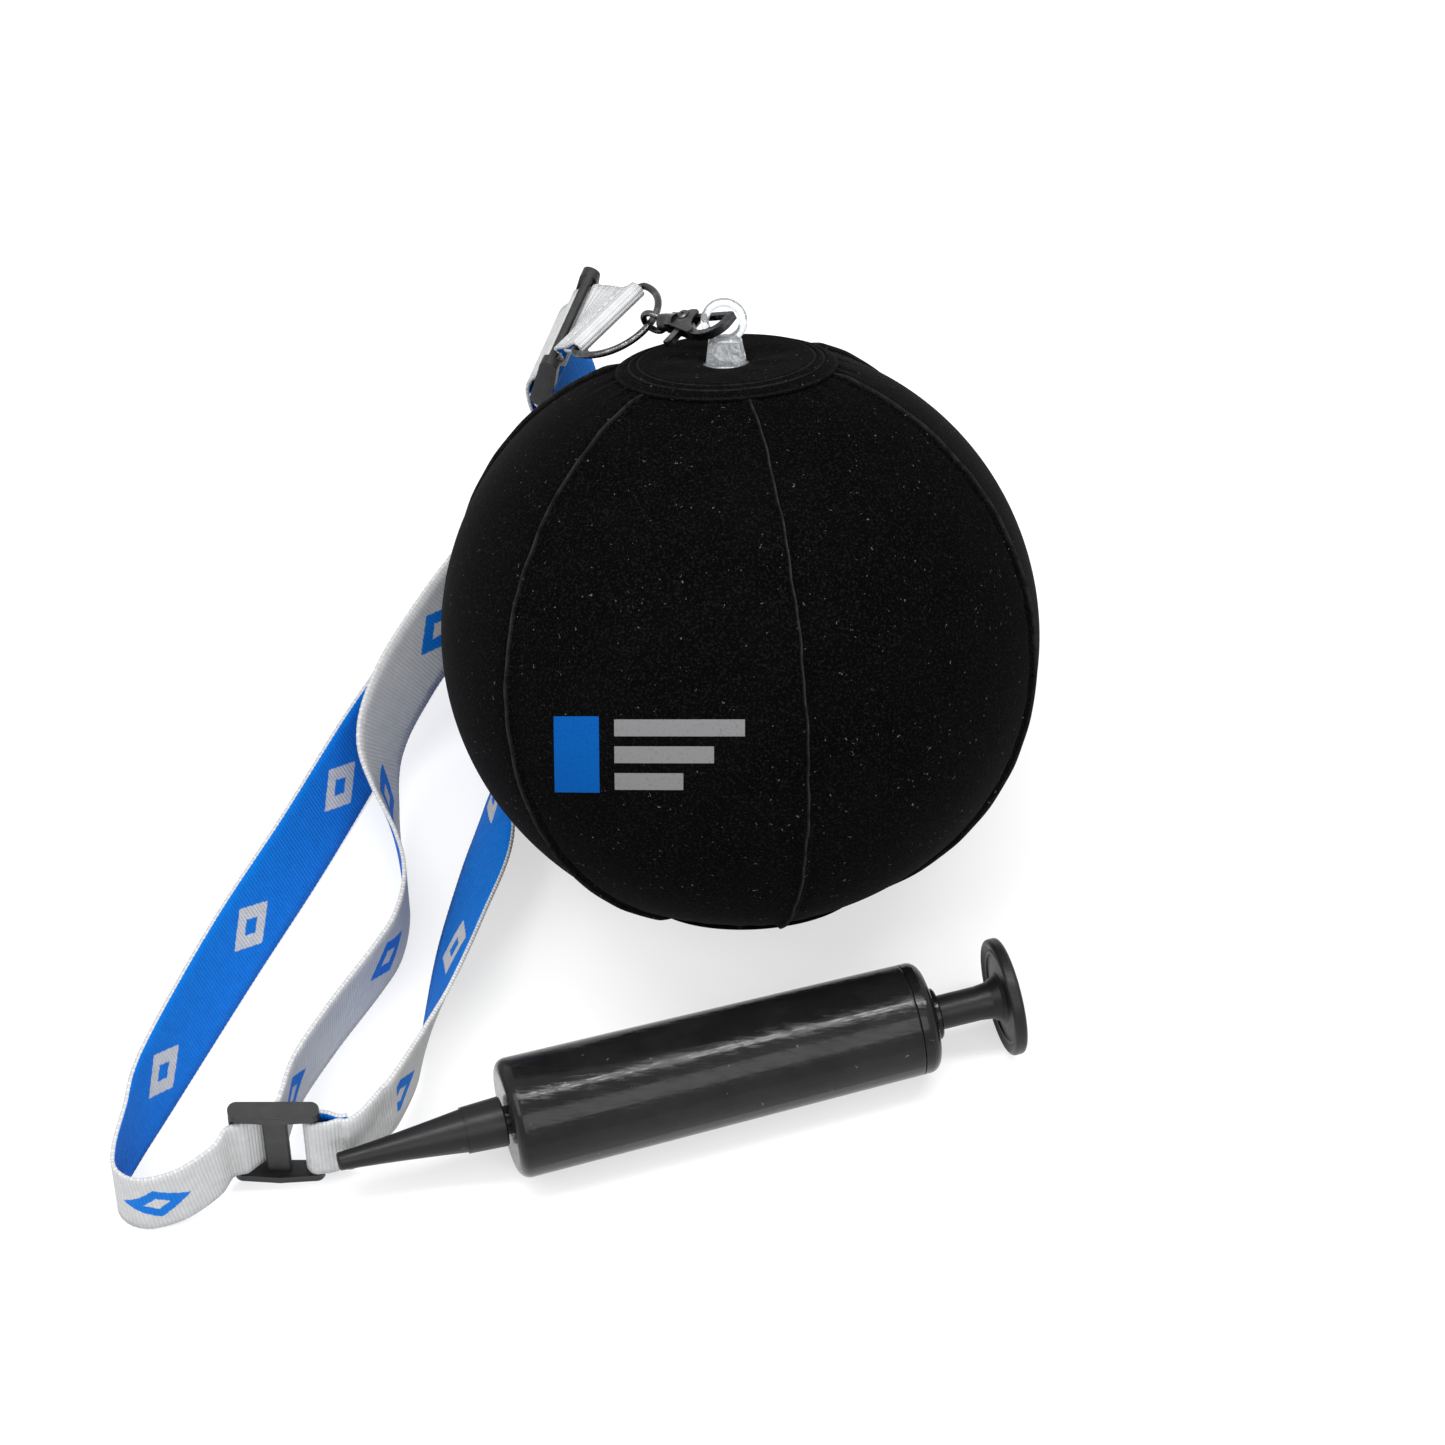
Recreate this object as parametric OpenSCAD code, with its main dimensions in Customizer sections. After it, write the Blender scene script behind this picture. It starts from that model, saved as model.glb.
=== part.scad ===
// Inflatable swing-training ball on an adjustable neck lanyard, with its hand pump.
// Millimetres, +Z up. The origin is the middle of the footprint on the table.

/* [Ball] */
// Diameter over two opposite seams, before the weld ridge
ball_d = 164.5; // [156:0.5:172]
// Half of the height from pole to pole that the panels' outline would have without patches
ball_half_h = 79.5; // [77:0.5:82]
// How much flatter the middle of a panel lies than its two seams
panel_dip = 1.2; // [0.6:0.1:2]
// Thickness of the flocked sheet
sheet_t = 1.2; // [0.8:0.1:1.8]
// Width of the foot of a seam weld
seam_foot_w = 4.4; // [3.6:0.2:6]
// Width of the ridge on a seam weld
seam_ridge_w = 1.8; // [1:0.2:2.6]
// Height of the ridge above the panels
seam_ridge_h = 1.3; // [0.8:0.1:2]
// Lean of the ball back from upright, and to the left, in degrees
ball_lean = [35, 3.5]; // [0:0.5:45]

/* [Patches] */
// Radius of the two round end patches
patch_r = 30; // [27:0.5:34]
// Radius of the hole in the panels under a patch
patch_hole_r = 23; // [20:0.5:24]
// Depth of the dish in the middle of a patch
patch_dish = 1.6; // [0.5:0.1:2.5]
// Radius of the ring weld on a patch
weld_ring_r = 24.6; // [22:0.2:26]

/* [Hanging loop] */
// Radius of the hole in the clear loop
loop_hole_r = 4; // [3.8:0.1:4.6]
// Width of the loop's rim round the hole
loop_rim = 2.3; // [1.8:0.1:2.4]
// Thickness of the loop
loop_t = 3.2; // [2.6:0.1:3.2]
// Height of the hole's centre above the pole that the panels' outline would have without patches
loop_rise = 8.9; // [8.5:0.1:10.5]

/* [Air valve] */
// Radius of the valve's body
valve_r = 5; // [4.5:0.1:6]
// Radius of the plug's pin
plug_pin_r = 1.6; // [1.2:0.1:2]
// Travel of the plug as it is pulled out
plug_travel = 8; // [4:0.5:8]

/* [Snap hook] */
// Inner radius of the hook's bend
hook_bend_r = 5; // [5:0.1:5.4]
// Width of the hook's stock round the bend
hook_stock = 1.8; // [1.6:0.1:2]
// Thickness of the bend
bend_t = 2.4; // [2:0.1:2.6]
// Thickness of the forked body
fork_t = 3.2; // [3:0.1:3.6]
// Width of the fork's slot, which holds the gate
fork_slot = 2; // [1.8:0.1:2.2]
// Radius of the rivet's shank
rivet_r = 0.9; // [0.7:0.05:1]
// Width of the gate's arm
gate_w = 1.4; // [1.2:0.1:1.6]
// Radius of the swivel's post
post_r = 1.1; // [0.9:0.05:1.2]
// Radius of the hole in the swivel's eye
eye_hole_r = 2.3; // [2.2:0.1:2.6]
// Thickness of the eye's stock
eye_stock = 1.8; // [1.5:0.1:2]
// Wire of the gate's spring
spring_wire = 0.35; // [0.3:0.05:0.4]

/* [Wire ring] */
// Diameter of the ring's wire
ring_wire = 2; // [1.8:0.1:2.2]
// Inner width of the ring, along the webbing fold
ring_w = 26; // [25.8:0.1:27]

/* [Webbing] */
// Width of the webbing
web_w = 25; // [22:0.5:25.4]
// Thickness of the webbing
web_t = 1.2; // [0.9:0.1:1.3]

/* [Strap sliders] */
// Length of a slider along the strap
slider_l = 24.5; // [24:0.5:27]
// Overall width of a slider across the strap
slider_w = 33; // [33:0.5:36]
// Depth of a slider's two rails
rail_d = 5; // [4.4:0.2:6]
// Thickness of a slider's three bars
bar_t = 2.4; // [2:0.1:2.6]
// Width of the bar in the middle of a slider
mid_bar_w = 6.8; // [6.4:0.1:7.2]
// Width of the bar at each end of a slider
end_bar_w = 3.2; // [3:0.1:3.5]

/* [Pump] */
// Length of the barrel
barrel_l = 120; // [110:1:125]
// Radius of the barrel at the nozzle end
barrel_r = 16.6; // [16:0.1:18]
// Radius of the barrel at the handle end
barrel_end_r = 15.4; // [15.2:0.1:15.8]
// Radius of the barrel's bore
bore_r = 13.2; // [12.5:0.1:13.4]
// Length of the tapered nozzle ahead of its collar
nozzle_l = 35; // [30:0.5:38]
// Length of the nozzle's collar
collar_l = 11; // [10:0.5:13]
// Radius of the nozzle's tip
tip_r = 2.5; // [2.2:0.1:3]
// Radius of the plunger's rod
rod_r = 4.75; // [4:0.05:5.5]
// Length of rod that stands out of the barrel
rod_out = 19; // [15:0.5:24]
// Radius of the push disc
disc_r = 16.3; // [15.5:0.1:17]
// Turn of the pump on the table, in degrees
pump_yaw = 16.3; // [14:0.1:18]

/* [Hidden] */
$fn = 48;

flock = "#161618";
clear_pvc = "#dfe7ee";
gunmetal = "#4a4a4c";
web_grey = "#c4c6ca";
black_plastic = "#2a2a2c";
gloss_black = "#101012";
seal_black = "#1c1c1c";

// ---- Turning and placing ----
function about_x(a, v) = [v[0], v[1] * cos(a) - v[2] * sin(a), v[1] * sin(a) + v[2] * cos(a)];
function about_y(a, v) = [v[0] * cos(a) + v[2] * sin(a), v[1], v[2] * cos(a) - v[0] * sin(a)];
function about_z(a, v) = [v[0] * cos(a) - v[1] * sin(a), v[0] * sin(a) + v[1] * cos(a), v[2]];
function turned(r, v) = about_z(r[2], about_y(r[1], about_x(r[0], v)));
function unit(v) = v / norm(v);

// ---- Ball: sizes and place ----
panel_count = 6;
half_panel = 180 / panel_count;
seam_start = 44;                     // turn of the first seam about the pole
corner_r = ball_d / 2;
middle_r = corner_r - panel_dip;
// Each panel is turned about its own axis, this far behind the ball's, so that it is flatter
panel_back = (corner_r * corner_r - middle_r * middle_r) / (2 * (middle_r - corner_r * cos(half_panel)));
rest_flat = 0.4;                     // depth of the flat on which the ball rests
ball_turn = [-ball_lean[0], -ball_lean[1], 0];
down_tilt = [sin(ball_lean[0]), cos(ball_lean[0])];
ball_rest = norm([(middle_r + panel_dip / 4) * down_tilt[0], ball_half_h * down_tilt[1]]) - rest_flat;
ball_at = [43, 22, ball_rest];
// Middle of the footprint, as the places and routes below are measured; it becomes the origin
middle = [-0.6, 1.9, 0];
meridian_steps = 12;                 // outline steps from the equator to a patch
foot_proud = 0.4;                    // height of the seam's foot above the panels

// Outline of a panel's middle and of its corners, by the angle t above the equator
function middle_point(t, off) = [(middle_r + off) * cos(t), (ball_half_h + off) * sin(t)];
function corner_of(x) = sqrt(pow(x + panel_back, 2) - pow(panel_back * sin(half_panel), 2))
    - panel_back * cos(half_panel);
function corner_point(t, off) = [corner_of(middle_r * cos(t)) + off * cos(t), (ball_half_h + off) * sin(t)];
// Height of the seams' corners above the equator at a distance from the pole's axis
function cap_height(r) = ball_half_h * sqrt(1 - pow((sqrt(pow(r + panel_back * cos(half_panel), 2)
    + pow(panel_back * sin(half_panel), 2)) - panel_back) / middle_r, 2));
function end_angle(r) = acos(r / middle_r);

module on_ball() translate(ball_at - middle) rotate(ball_turn) children();

// The table's plane, as a block that flattens what rests on it
module below_table() translate([-200, -200, -100]) cube([400, 400, 100]);

module meridian_band(end) {
    outer = [for (i = [-meridian_steps:meridian_steps]) middle_point(end * i / meridian_steps, 0)];
    inner = [for (i = [meridian_steps:-1:-meridian_steps]) middle_point(end * i / meridian_steps, -sheet_t)];
    polygon(concat(outer, inner));
}

// One of the six gores, cut back to the foot of the seam on each side
module panel(number) {
    reach = 2 * corner_r;
    color(flock)
    difference() {
        on_ball()
        rotate(seam_start + 2 * half_panel * (number - 1) + half_panel)
        intersection() {
            translate([-panel_back, 0, 0])
            rotate(-half_panel - 10)
            rotate_extrude(angle = 2 * half_panel + 20, $fn = 96)
            translate([panel_back, 0])
            meridian_band(end_angle(patch_hole_r));
            translate([seam_foot_w / 2 / sin(half_panel), 0, -reach])
            linear_extrude(2 * reach)
            polygon([[0, 0], reach * [cos(half_panel), -sin(half_panel)],
                reach * [cos(half_panel), sin(half_panel)]]);
        }
        below_table();
    }
}

module seam_strip(width, proud) {
    end = end_angle(patch_r + 0.4);
    steps = 2 * meridian_steps;
    outer = [for (i = [-steps:2:steps]) corner_point(end * i / steps, proud)];
    inner = [for (i = [steps:-2:-steps]) corner_point(end * i / steps, -sheet_t)];
    rotate([90, 0, 0])
    linear_extrude(width, center = true)
    polygon(concat(outer, inner));
}

// Six welds: a foot as wide as the gap between the panels, with a narrow ridge on it
module seam_welds() color(flock) difference() {
    on_ball()
    for (i = [0:panel_count - 1])
        rotate(seam_start + 2 * half_panel * i) {
            seam_strip(seam_foot_w, foot_proud);
            seam_strip(seam_ridge_w, seam_ridge_h);
        }
    below_table();
}

// ---- Patches ----
patch_lift = 0.15;                   // the patch's underside lies this far above the seams' corners
patch_in_h = cap_height(patch_hole_r) + patch_lift;
weld_groove = 0.45;
function patch_under(r) = r > patch_hole_r ? cap_height(r) + patch_lift
    : patch_in_h - patch_dish * (1 - cos(90 * (1 - r / patch_hole_r)));
patch_hole_clear = 0.1;

// A round patch with a hole, a rounded rim and the groove of its ring weld
module patch(hole) {
    rim = patch_r - 0.8;
    outer_rs = [rim, weld_ring_r + 3, weld_ring_r + 2.1];
    groove_rs = [weld_ring_r + 0.7, weld_ring_r - 0.7];
    inner_rs = [for (k = [0:6]) (weld_ring_r - 1.4) * (1 - k / 6) + hole * k / 6];
    under_rs = [for (k = [0:9]) hole + (patch_r - hole) * k / 9];
    polygon_points = concat(
        [for (r = under_rs) [r, patch_under(r)]],
        [[patch_r, patch_under(patch_r) + sheet_t / 2]],
        [for (r = outer_rs) [r, patch_under(r) + sheet_t]],
        [[weld_ring_r + 1.4, patch_under(weld_ring_r + 1.4) + sheet_t - weld_groove]],
        [for (r = groove_rs) [r, patch_under(r) + sheet_t]],
        [[weld_ring_r - 1.1, patch_under(weld_ring_r - 1.1) + sheet_t - weld_groove]],
        [for (r = inner_rs) [r, patch_under(r) + sheet_t]]);
    rotate_extrude($fn = 96)
    polygon(polygon_points);
}

module top_patch() color(flock)
    on_ball()
    patch(loop_base_r + patch_hole_clear);

module bottom_patch() color(flock)
    on_ball()
    mirror([0, 0, 1])
    patch(valve_r + patch_hole_clear);

// ---- Clear hanging loop ----
loop_h = ball_half_h + loop_rise;    // height of the hole's centre above the ball's middle
loop_base_r = 6.2;                   // corner radius of the loop's six-sided foot
loop_out_r = loop_hole_r + loop_rim;
loop_flange_r = 13;
loop_flange_t = 1.4;
loop_flange_top = patch_under(loop_base_r) - 0.2;
loop_edge = 0.7;                     // chamfer on the loop's rim

// Cross-section of the rim, with its edges taken off, for turning about the hole
module loop_rim_section() {
    h = loop_t / 2;
    polygon([[loop_hole_r, -h + loop_edge], [loop_hole_r + loop_edge, -h], [loop_out_r - loop_edge, -h],
        [loop_out_r, -h + loop_edge], [loop_out_r, h - loop_edge], [loop_out_r - loop_edge, h],
        [loop_hole_r + loop_edge, h], [loop_hole_r, h - loop_edge]]);
}

module hanging_loop() color(clear_pvc, 0.5) on_ball() {
    foot_top = loop_h - loop_hole_r - 1.2;
    translate([0, 0, loop_h])
    rotate([90, 0, 0])
    rotate_extrude()
    loop_rim_section();
    translate([0, 0, loop_flange_top - loop_flange_t])
    cylinder(r = loop_flange_r, h = loop_flange_t);
    translate([0, 0, loop_flange_top - 0.1])
    linear_extrude(foot_top - loop_flange_top + 0.1)
    intersection() {
        rotate(30) circle(r = loop_base_r, $fn = 6);
        square([2 * loop_base_r, 2 * (loop_t - 0.2)], center = true);
    }
}

// ---- Air valve, at the far pole ----
valve_top = patch_under(valve_r) + sheet_t;   // outer end of the valve's body
valve_l = 13;
valve_flange_top = patch_under(valve_r) - 0.2;
plug_head_r = valve_r - 1.2;
plug_head_t = 1.6;
plug_pin_l = 9;
plug_gap = 0.05;

module air_valve() color(flock)
    on_ball()
    mirror([0, 0, 1])
    difference() {
        union() {
            translate([0, 0, valve_top - valve_l]) cylinder(r = valve_r, h = valve_l);
            translate([0, 0, valve_flange_top - sheet_t]) cylinder(r = 2.2 * valve_r, h = sheet_t);
        }
        translate([0, 0, valve_top - plug_head_t]) cylinder(r = plug_head_r + 0.3, h = plug_head_t + 1);
        translate([0, 0, valve_top - valve_l - 1]) cylinder(r = plug_pin_r + plug_gap, h = valve_l);
    }

// Plug with a finger slot across its head
module valve_plug() color(flock)
    on_ball()
    mirror([0, 0, 1])
    difference() {
        union() {
            translate([0, 0, valve_top - plug_head_t + 0.05]) cylinder(r = plug_head_r, h = plug_head_t);
            translate([0, 0, valve_top - plug_head_t - plug_pin_l]) cylinder(r = plug_pin_r, h = plug_pin_l + 0.1);
        }
        translate([-plug_head_r, -0.5, valve_top - 0.6]) cube([2 * plug_head_r, 1, 2]);
    }

// ---- Snap hook: +X runs along its shank to the bend, +Z is square to its flat side ----
hook_turn = [-2, -30, -30];
bend_at = [14.6, 1.2];
tip_top = 4;                         // end of the hook's tip, across the shank
fork_x = [3.2, 9.8];                 // the slot for the gate, along the shank
barrel_x = [-0.6, 3.2];              // the round neck that holds the swivel's post
neck_r = 2.5;
head_room = [1.2, 2.8];              // the chamber for the post's peened head
rivet_at = [5.2, 1.7];
gate_end_gap = 0.3;
gate_play = 0.1;                     // gap on each side of the gate in its slot
running_gap = 0.05;
// The loop's hole, as the hook sees it: its rim lies in the bend
loop_in_hook = [18.8, 1.97, 0];
loop_at = ball_at + turned(ball_turn, [0, 0, loop_h]);
hook_at = loop_at - turned(hook_turn, loop_in_hook);

module on_hook() translate(hook_at - middle) rotate(hook_turn) children();

module bend_outline() {
    inner_x = bend_at[0] + hook_bend_r;
    difference() {
        intersection() {
            translate(bend_at) circle(r = hook_bend_r + hook_stock, $fn = 72);
            translate([0, bend_at[1] - 40]) square([60, 40]);
        }
        translate(bend_at) circle(r = hook_bend_r, $fn = 72);
    }
    translate([inner_x, bend_at[1] - 0.1]) square([hook_stock, tip_top - bend_at[1] + 0.1]);
}

module fork_outline() {
    throat_x = bend_at[0] - hook_bend_r;
    difference() {
        polygon([[1, -neck_r], [barrel_x[1], -neck_r], [11.4, -5.2], [12.4, -4.2], [throat_x, 0],
            [throat_x, 3.4], [8.6, 4], [7, 4], [barrel_x[1], neck_r], [1, neck_r]]);
        translate(bend_at) circle(r = hook_bend_r, $fn = 72);
    }
}

module hook_body() color(gunmetal) on_hook() difference() {
    union() {
        linear_extrude(bend_t, center = true) bend_outline();
        linear_extrude(fork_t, center = true) fork_outline();
        translate([barrel_x[0], 0, 0])
        rotate([0, 90, 0])
        cylinder(r = neck_r, h = barrel_x[1] - barrel_x[0]);
    }
    translate([fork_x[0], -10, -fork_slot / 2]) cube([fork_x[1] - fork_x[0], 20, fork_slot]);
    translate([rivet_at[0], rivet_at[1], -5]) cylinder(r = rivet_r + running_gap, h = 10);
    translate([barrel_x[0] - 1, 0, 0]) rotate([0, 90, 0]) cylinder(r = post_r + running_gap, h = 3);
    translate([head_room[0], 0, 0]) rotate([0, 90, 0]) cylinder(r = post_r + 0.8, h = head_room[1] - head_room[0]);
}

// Gate: an arm that closes the bend, and a thumb lever on the far side of the rivet
module hook_gate() color(gunmetal) on_hook() {
    end = [bend_at[0] + hook_bend_r - gate_end_gap, 3.6] - rivet_at;
    lean = atan2(end[1], end[0]);
    thickness = fork_slot - 2 * gate_play;
    lever = [[-1, -0.6], [0.2, -5.6], [-0.4, -10.4], [1.2, -10.6], [2, -9.6], [2.4, -5.2], [1, -1.2]];
    translate([rivet_at[0], rivet_at[1], 0])
    difference() {
        linear_extrude(thickness, center = true) {
            circle(r = 1.75);
            rotate(lean) translate([0, -gate_w / 2]) square([norm(end) - gate_w / 2, gate_w]);
            rotate(lean) translate([norm(end) - gate_w / 2, 0]) circle(r = gate_w / 2, $fn = 32);
            polygon(lever);
        }
        translate([0, 0, -5]) cylinder(r = rivet_r + running_gap, h = 10);
    }
}

// Tubular rivet with a rolled head on each side
module hook_rivet() color(gunmetal) on_hook() {
    head_t = 0.5;
    grip = fork_t + 0.04;
    translate([rivet_at[0], rivet_at[1], 0])
    rotate_extrude()
    polygon([[0.4, -grip / 2 - head_t], [1.3, -grip / 2 - head_t], [1.7, -grip / 2 - 0.15],
        [1.7, -grip / 2], [rivet_r, -grip / 2], [rivet_r, grip / 2], [1.7, grip / 2],
        [1.7, grip / 2 + 0.15], [1.3, grip / 2 + head_t], [0.4, grip / 2 + head_t]]);
}

// ---- Gate spring: a small coil between the throat's floor and the gate's arm ----
spring_at = [8.2, 0];
spring_y = [-3.1, 1.1];              // along the hook's Y, from the fork's floor to the gate
spring_r = 0.68;                     // to the middle of the wire
spring_turns = 5;

function coil_point(a, length) = [spring_r * cos(a), length * a / (360 * spring_turns), spring_r * sin(a)];

// ---- A tube or a ribbon swept along points ----
// Each ring of the skin has the same number of points; the ends are closed by fans
module skin(rings) {
    sides = len(rings[0]);
    last = len(rings) - 1;
    points = [for (ring = rings) for (p = ring) p];
    walls = [for (i = [0:last - 1]) for (k = [0:sides - 1])
        let (a = i * sides + k, b = i * sides + (k + 1) % sides)
        for (f = [[a, b, a + sides], [b, b + sides, a + sides]]) f];
    near = [for (k = [1:sides - 2]) [0, k + 1, k]];
    far = [for (k = [1:sides - 2]) [last * sides, last * sides + k, last * sides + k + 1]];
    polyhedron(points = points, faces = concat(walls, near, far), convexity = 10);
}

function along(points, i) = unit(points[min(i + 1, len(points) - 1)] - points[max(i - 1, 0)]);

module gate_spring() color(gunmetal) on_hook() {
    length = spring_y[1] - spring_y[0];
    steps = spring_turns * 8;
    line = [for (i = [0:steps]) coil_point(360 * spring_turns * i / steps, length)];
    rings = [for (i = [0:steps])
        let (t = along(line, i), out = unit([line[i][0], 0, line[i][2]]), up = cross(t, out))
        [for (k = [0:5]) line[i] + spring_wire / 2 * (cos(60 * k) * out + sin(60 * k) * up)]];
    translate([spring_at[0], spring_y[0], 0]) skin(rings);
}

// ---- Swivel ----
eye_roll = 2;                        // turn of the eye about the shank at rest
eye_x = -5;                          // middle of the eye's hole, along the shank
swivel_disc_x = [-2, barrel_x[0] - 0.12];

module swivel_eye() color(gunmetal) on_hook() rotate([eye_roll, 0, 0]) {
    translate([eye_x, 0, 0])
    rotate([90, 0, 0])
    rotate_extrude()
    translate([eye_hole_r + eye_stock / 2, 0]) circle(r = eye_stock / 2, $fn = 32);
    rotate([0, 90, 0]) {
        translate([0, 0, eye_x + eye_hole_r + 0.5]) cylinder(r = post_r, h = 2 - eye_x - eye_hole_r - 0.5);
        translate([0, 0, swivel_disc_x[0]]) cylinder(r = 2.4, h = swivel_disc_x[1] - swivel_disc_x[0]);
        translate([0, 0, head_room[0] + 0.12]) cylinder(r = post_r + 0.6, h = 1.2);
    }
}

// ---- Wire ring: +Y runs along its straight side, +X from there to the top of the bow ----
ring_turn = [7, -26, -45];
ring_corner_r = 1.6;
bow_r = ring_w / 2 + ring_wire / 2;
eye_on_bow = 15;                     // where the eye hangs on the bow, in degrees from its top
eye_gap = 0.3;                       // gap between the wire and the back of the eye's hole
wire_in_eye = [eye_x - eye_hole_r + ring_wire / 2 + eye_gap, 0, 0];
eye_point = hook_at + turned(hook_turn, wire_in_eye);
ring_at = eye_point - turned(ring_turn, [ring_corner_r + bow_r * cos(eye_on_bow), bow_r * sin(eye_on_bow), 0]);

module on_ring() translate(ring_at - middle) rotate(ring_turn) children();

module wire_ring() color(gunmetal) on_ring() {
    bar_half = bow_r - ring_corner_r;
    translate([ring_corner_r, 0, 0])
    rotate(-90)
    rotate_extrude(angle = 180, $fn = 72)
    translate([bow_r, 0]) circle(d = ring_wire, $fn = 32);
    rotate([90, 0, 0]) cylinder(d = ring_wire, h = 2 * bar_half, center = true, $fn = 32);
    for (side = [-1, 1])
        translate([ring_corner_r, side * bar_half, 0])
        rotate(side > 0 ? 90 : 180)
        rotate_extrude(angle = 90, $fn = 48)
        translate([ring_corner_r, 0]) circle(d = ring_wire, $fn = 32);
}

// ---- Webbing fold on the ring: two layers sewn flat, in the ring's frame ----
tab_lean = -20;                      // turn of the tab about the ring's straight side
fold_r = ring_wire / 2 + 0.25 + web_t / 2;
tab_l = 8;
lay = web_t / 2 + 0.03;              // from the middle of a sewn fold to the middle of a layer
function layer(a, r) = [r * cos(a), r * sin(a)];

// Outline of a ribbon of the webbing's thickness along flat points
module ribbon(line) {
    function side_of(i) = let (d = along([for (p = line) [p[0], p[1], 0]], i)) [-d[1], d[0]];
    polygon(concat(
        [for (i = [0:len(line) - 1]) line[i] + web_t / 2 * side_of(i)],
        [for (i = [len(line) - 1:-1:0]) line[i] - web_t / 2 * side_of(i)]));
}

module strap_tab() color(web_grey) on_ring() rotate([0, tab_lean, 0]) {
    line = concat([[-tab_l, lay], [-7, lay], [-4, lay + 0.4]],
        [for (a = [110:-20:-110]) layer(a, fold_r)],
        [[-4, -lay - 0.4], [-7, -lay], [-tab_l, -lay]]);
    rotate([90, 0, 0])
    linear_extrude(web_w, center = true)
    ribbon(line);
}

// ---- Sliders: +X along the strap, +Y square to the plate, +Z across the strap ----

function slider_bars() = [
    [-slider_l / 2, end_bar_w], [-mid_bar_w / 2, mid_bar_w], [slider_l / 2 - end_bar_w, end_bar_w]];
bar_edge = 0.6;                      // chamfer on the bars' edges
slot_l = web_w + 2.4;                // the slots' length across the strap
rail_h = (slider_w - slot_l) / 2;

// One rail: its ends rounded, its outer side peaked a little in the middle
module rail() {
    r = 2.4;
    half = slider_l / 2;
    peak = 0.7;
    linear_extrude(rail_h)
    difference() {
        union() {
            polygon([[-half + r, -rail_d / 2], [0, -rail_d / 2 - peak], [half - r, -rail_d / 2],
                [half, -rail_d / 2 + r], [half, rail_d / 2 - r], [half - r, rail_d / 2],
                [-half + r, rail_d / 2], [-half, rail_d / 2 - r], [-half, -rail_d / 2 + r]]);
            for (x = [-half + r, half - r]) for (y = [-rail_d / 2 + r, rail_d / 2 - r])
                translate([x, y]) circle(r = r, $fn = 32);
        }
    }
}

// Section of a bar, with its four edges taken off where the webbing runs
module bar_section(width) {
    h = bar_t / 2;
    polygon([[bar_edge, -h], [width - bar_edge, -h], [width, bar_edge - h], [width, h - bar_edge],
        [width - bar_edge, h], [bar_edge, h], [0, h - bar_edge], [0, bar_edge - h]]);
}

module slider() {
    for (side = [0, 1])
        mirror([0, 0, side])
        translate([0, 0, slot_l / 2])
        rail();
    for (bar = slider_bars())
        translate([bar[0], 0, 0])
        linear_extrude(slot_l + 0.2, center = true)
        bar_section(bar[1]);
}

// ---- Lower slider, standing on its edge on the table ----
lower_slider_at = [-81.6, -101.3, slider_w / 2];
module lower_slider() color(black_plastic)
    translate(lower_slider_at - middle)
    slider();

// Webbing end, folded round the slider's right-hand bar and sewn
sewn_l = 9;
sewn_tail = [28, 9];                 // where the fold's back layer turns away, from the slider's middle
module sewn_end() color(web_grey) {
    bar_x = slider_l / 2 - end_bar_w / 2;
    out = bar_t / 2 + 0.3 + web_t / 2;
    turn_x = end_bar_w / 2 + 0.3 + web_t / 2;
    line = concat([sewn_tail, sewn_tail - [3, 3.9], sewn_tail - [5.2, 6.4], [bar_x + sewn_l, lay + 0.6]],
        [[bar_x + sewn_l - 2, lay], [bar_x + 6, lay + 0.2], [bar_x + 3.6, out - 0.4]],
        [[bar_x + 1, out], [bar_x - turn_x + 1.4, out], [bar_x - turn_x + 0.4, out - 0.5],
        [bar_x - turn_x, out - 1.4], [bar_x - turn_x, -out + 1.4], [bar_x - turn_x + 0.4, -out + 0.5],
        [bar_x - turn_x + 1.4, -out], [bar_x + 1, -out]],
        [[bar_x + 3.6, -out + 0.4], [bar_x + 6, -lay - 0.2], [bar_x + sewn_l - 2, -lay], [bar_x + sewn_l, -lay]]);
    translate(lower_slider_at - middle)
    linear_extrude(web_w, center = true)
    ribbon(line);
}

// ---- Top slider, high behind the ball ----
top_slider_turn = [62, 75.5, 132];
ring_from_slider = [-26, -10, -4];  // the ring's straight side, as the slider sees it
top_slider_at = ring_at - turned(top_slider_turn, ring_from_slider);

module top_slider() color(black_plastic) 
    translate(top_slider_at - middle)
    rotate(top_slider_turn)
    slider();

// ---- Free webbing ----
// A route point is a place and the direction across the strap there
function on_lower(x, y, drop = 0) = concat(lower_slider_at + [x, y, -drop], [0, 0, -1]);
function on_top(x, y) = concat(top_slider_at + turned(top_slider_turn, [x, y, 0]),
    turned(top_slider_turn, [0, 0, 1]));
function on_tab(x, z) = concat(ring_at + turned(ring_turn, about_y(tab_lean, [x, 0, z])),
    turned(ring_turn, [0, 1, 0]));

function blend(p, q, r, s, t) = 0.5 * (2 * q + (r - p) * t + (2 * p - 5 * q + 4 * r - s) * t * t
    + (3 * q - p - 3 * r + s) * t * t * t);
function smooth(route, steps) = concat([for (i = [0:len(route) - 2]) for (k = [0:steps - 1])
    blend(route[max(i - 1, 0)], route[i], route[i + 1], route[min(i + 2, len(route) - 1)], k / steps)],
    [route[len(route) - 1]]);

// A strap of the webbing's section along a route
module strap(route, steps = 3) {
    line = smooth(route, steps);
    places = [for (p = line) [p[0], p[1], p[2]]];
    rings = [for (i = [0:len(line) - 1])
        let (t = along(places, i), rough = [line[i][3], line[i][4], line[i][5]],
            w = unit(rough - (rough * t) * t) * web_w / 2, m = unit(cross(t, w)) * web_t / 2)
        [places[i] - w - m, places[i] + w - m, places[i] + w + m, places[i] - w + m]];
    translate(-middle) skin(rings);
}

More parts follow.
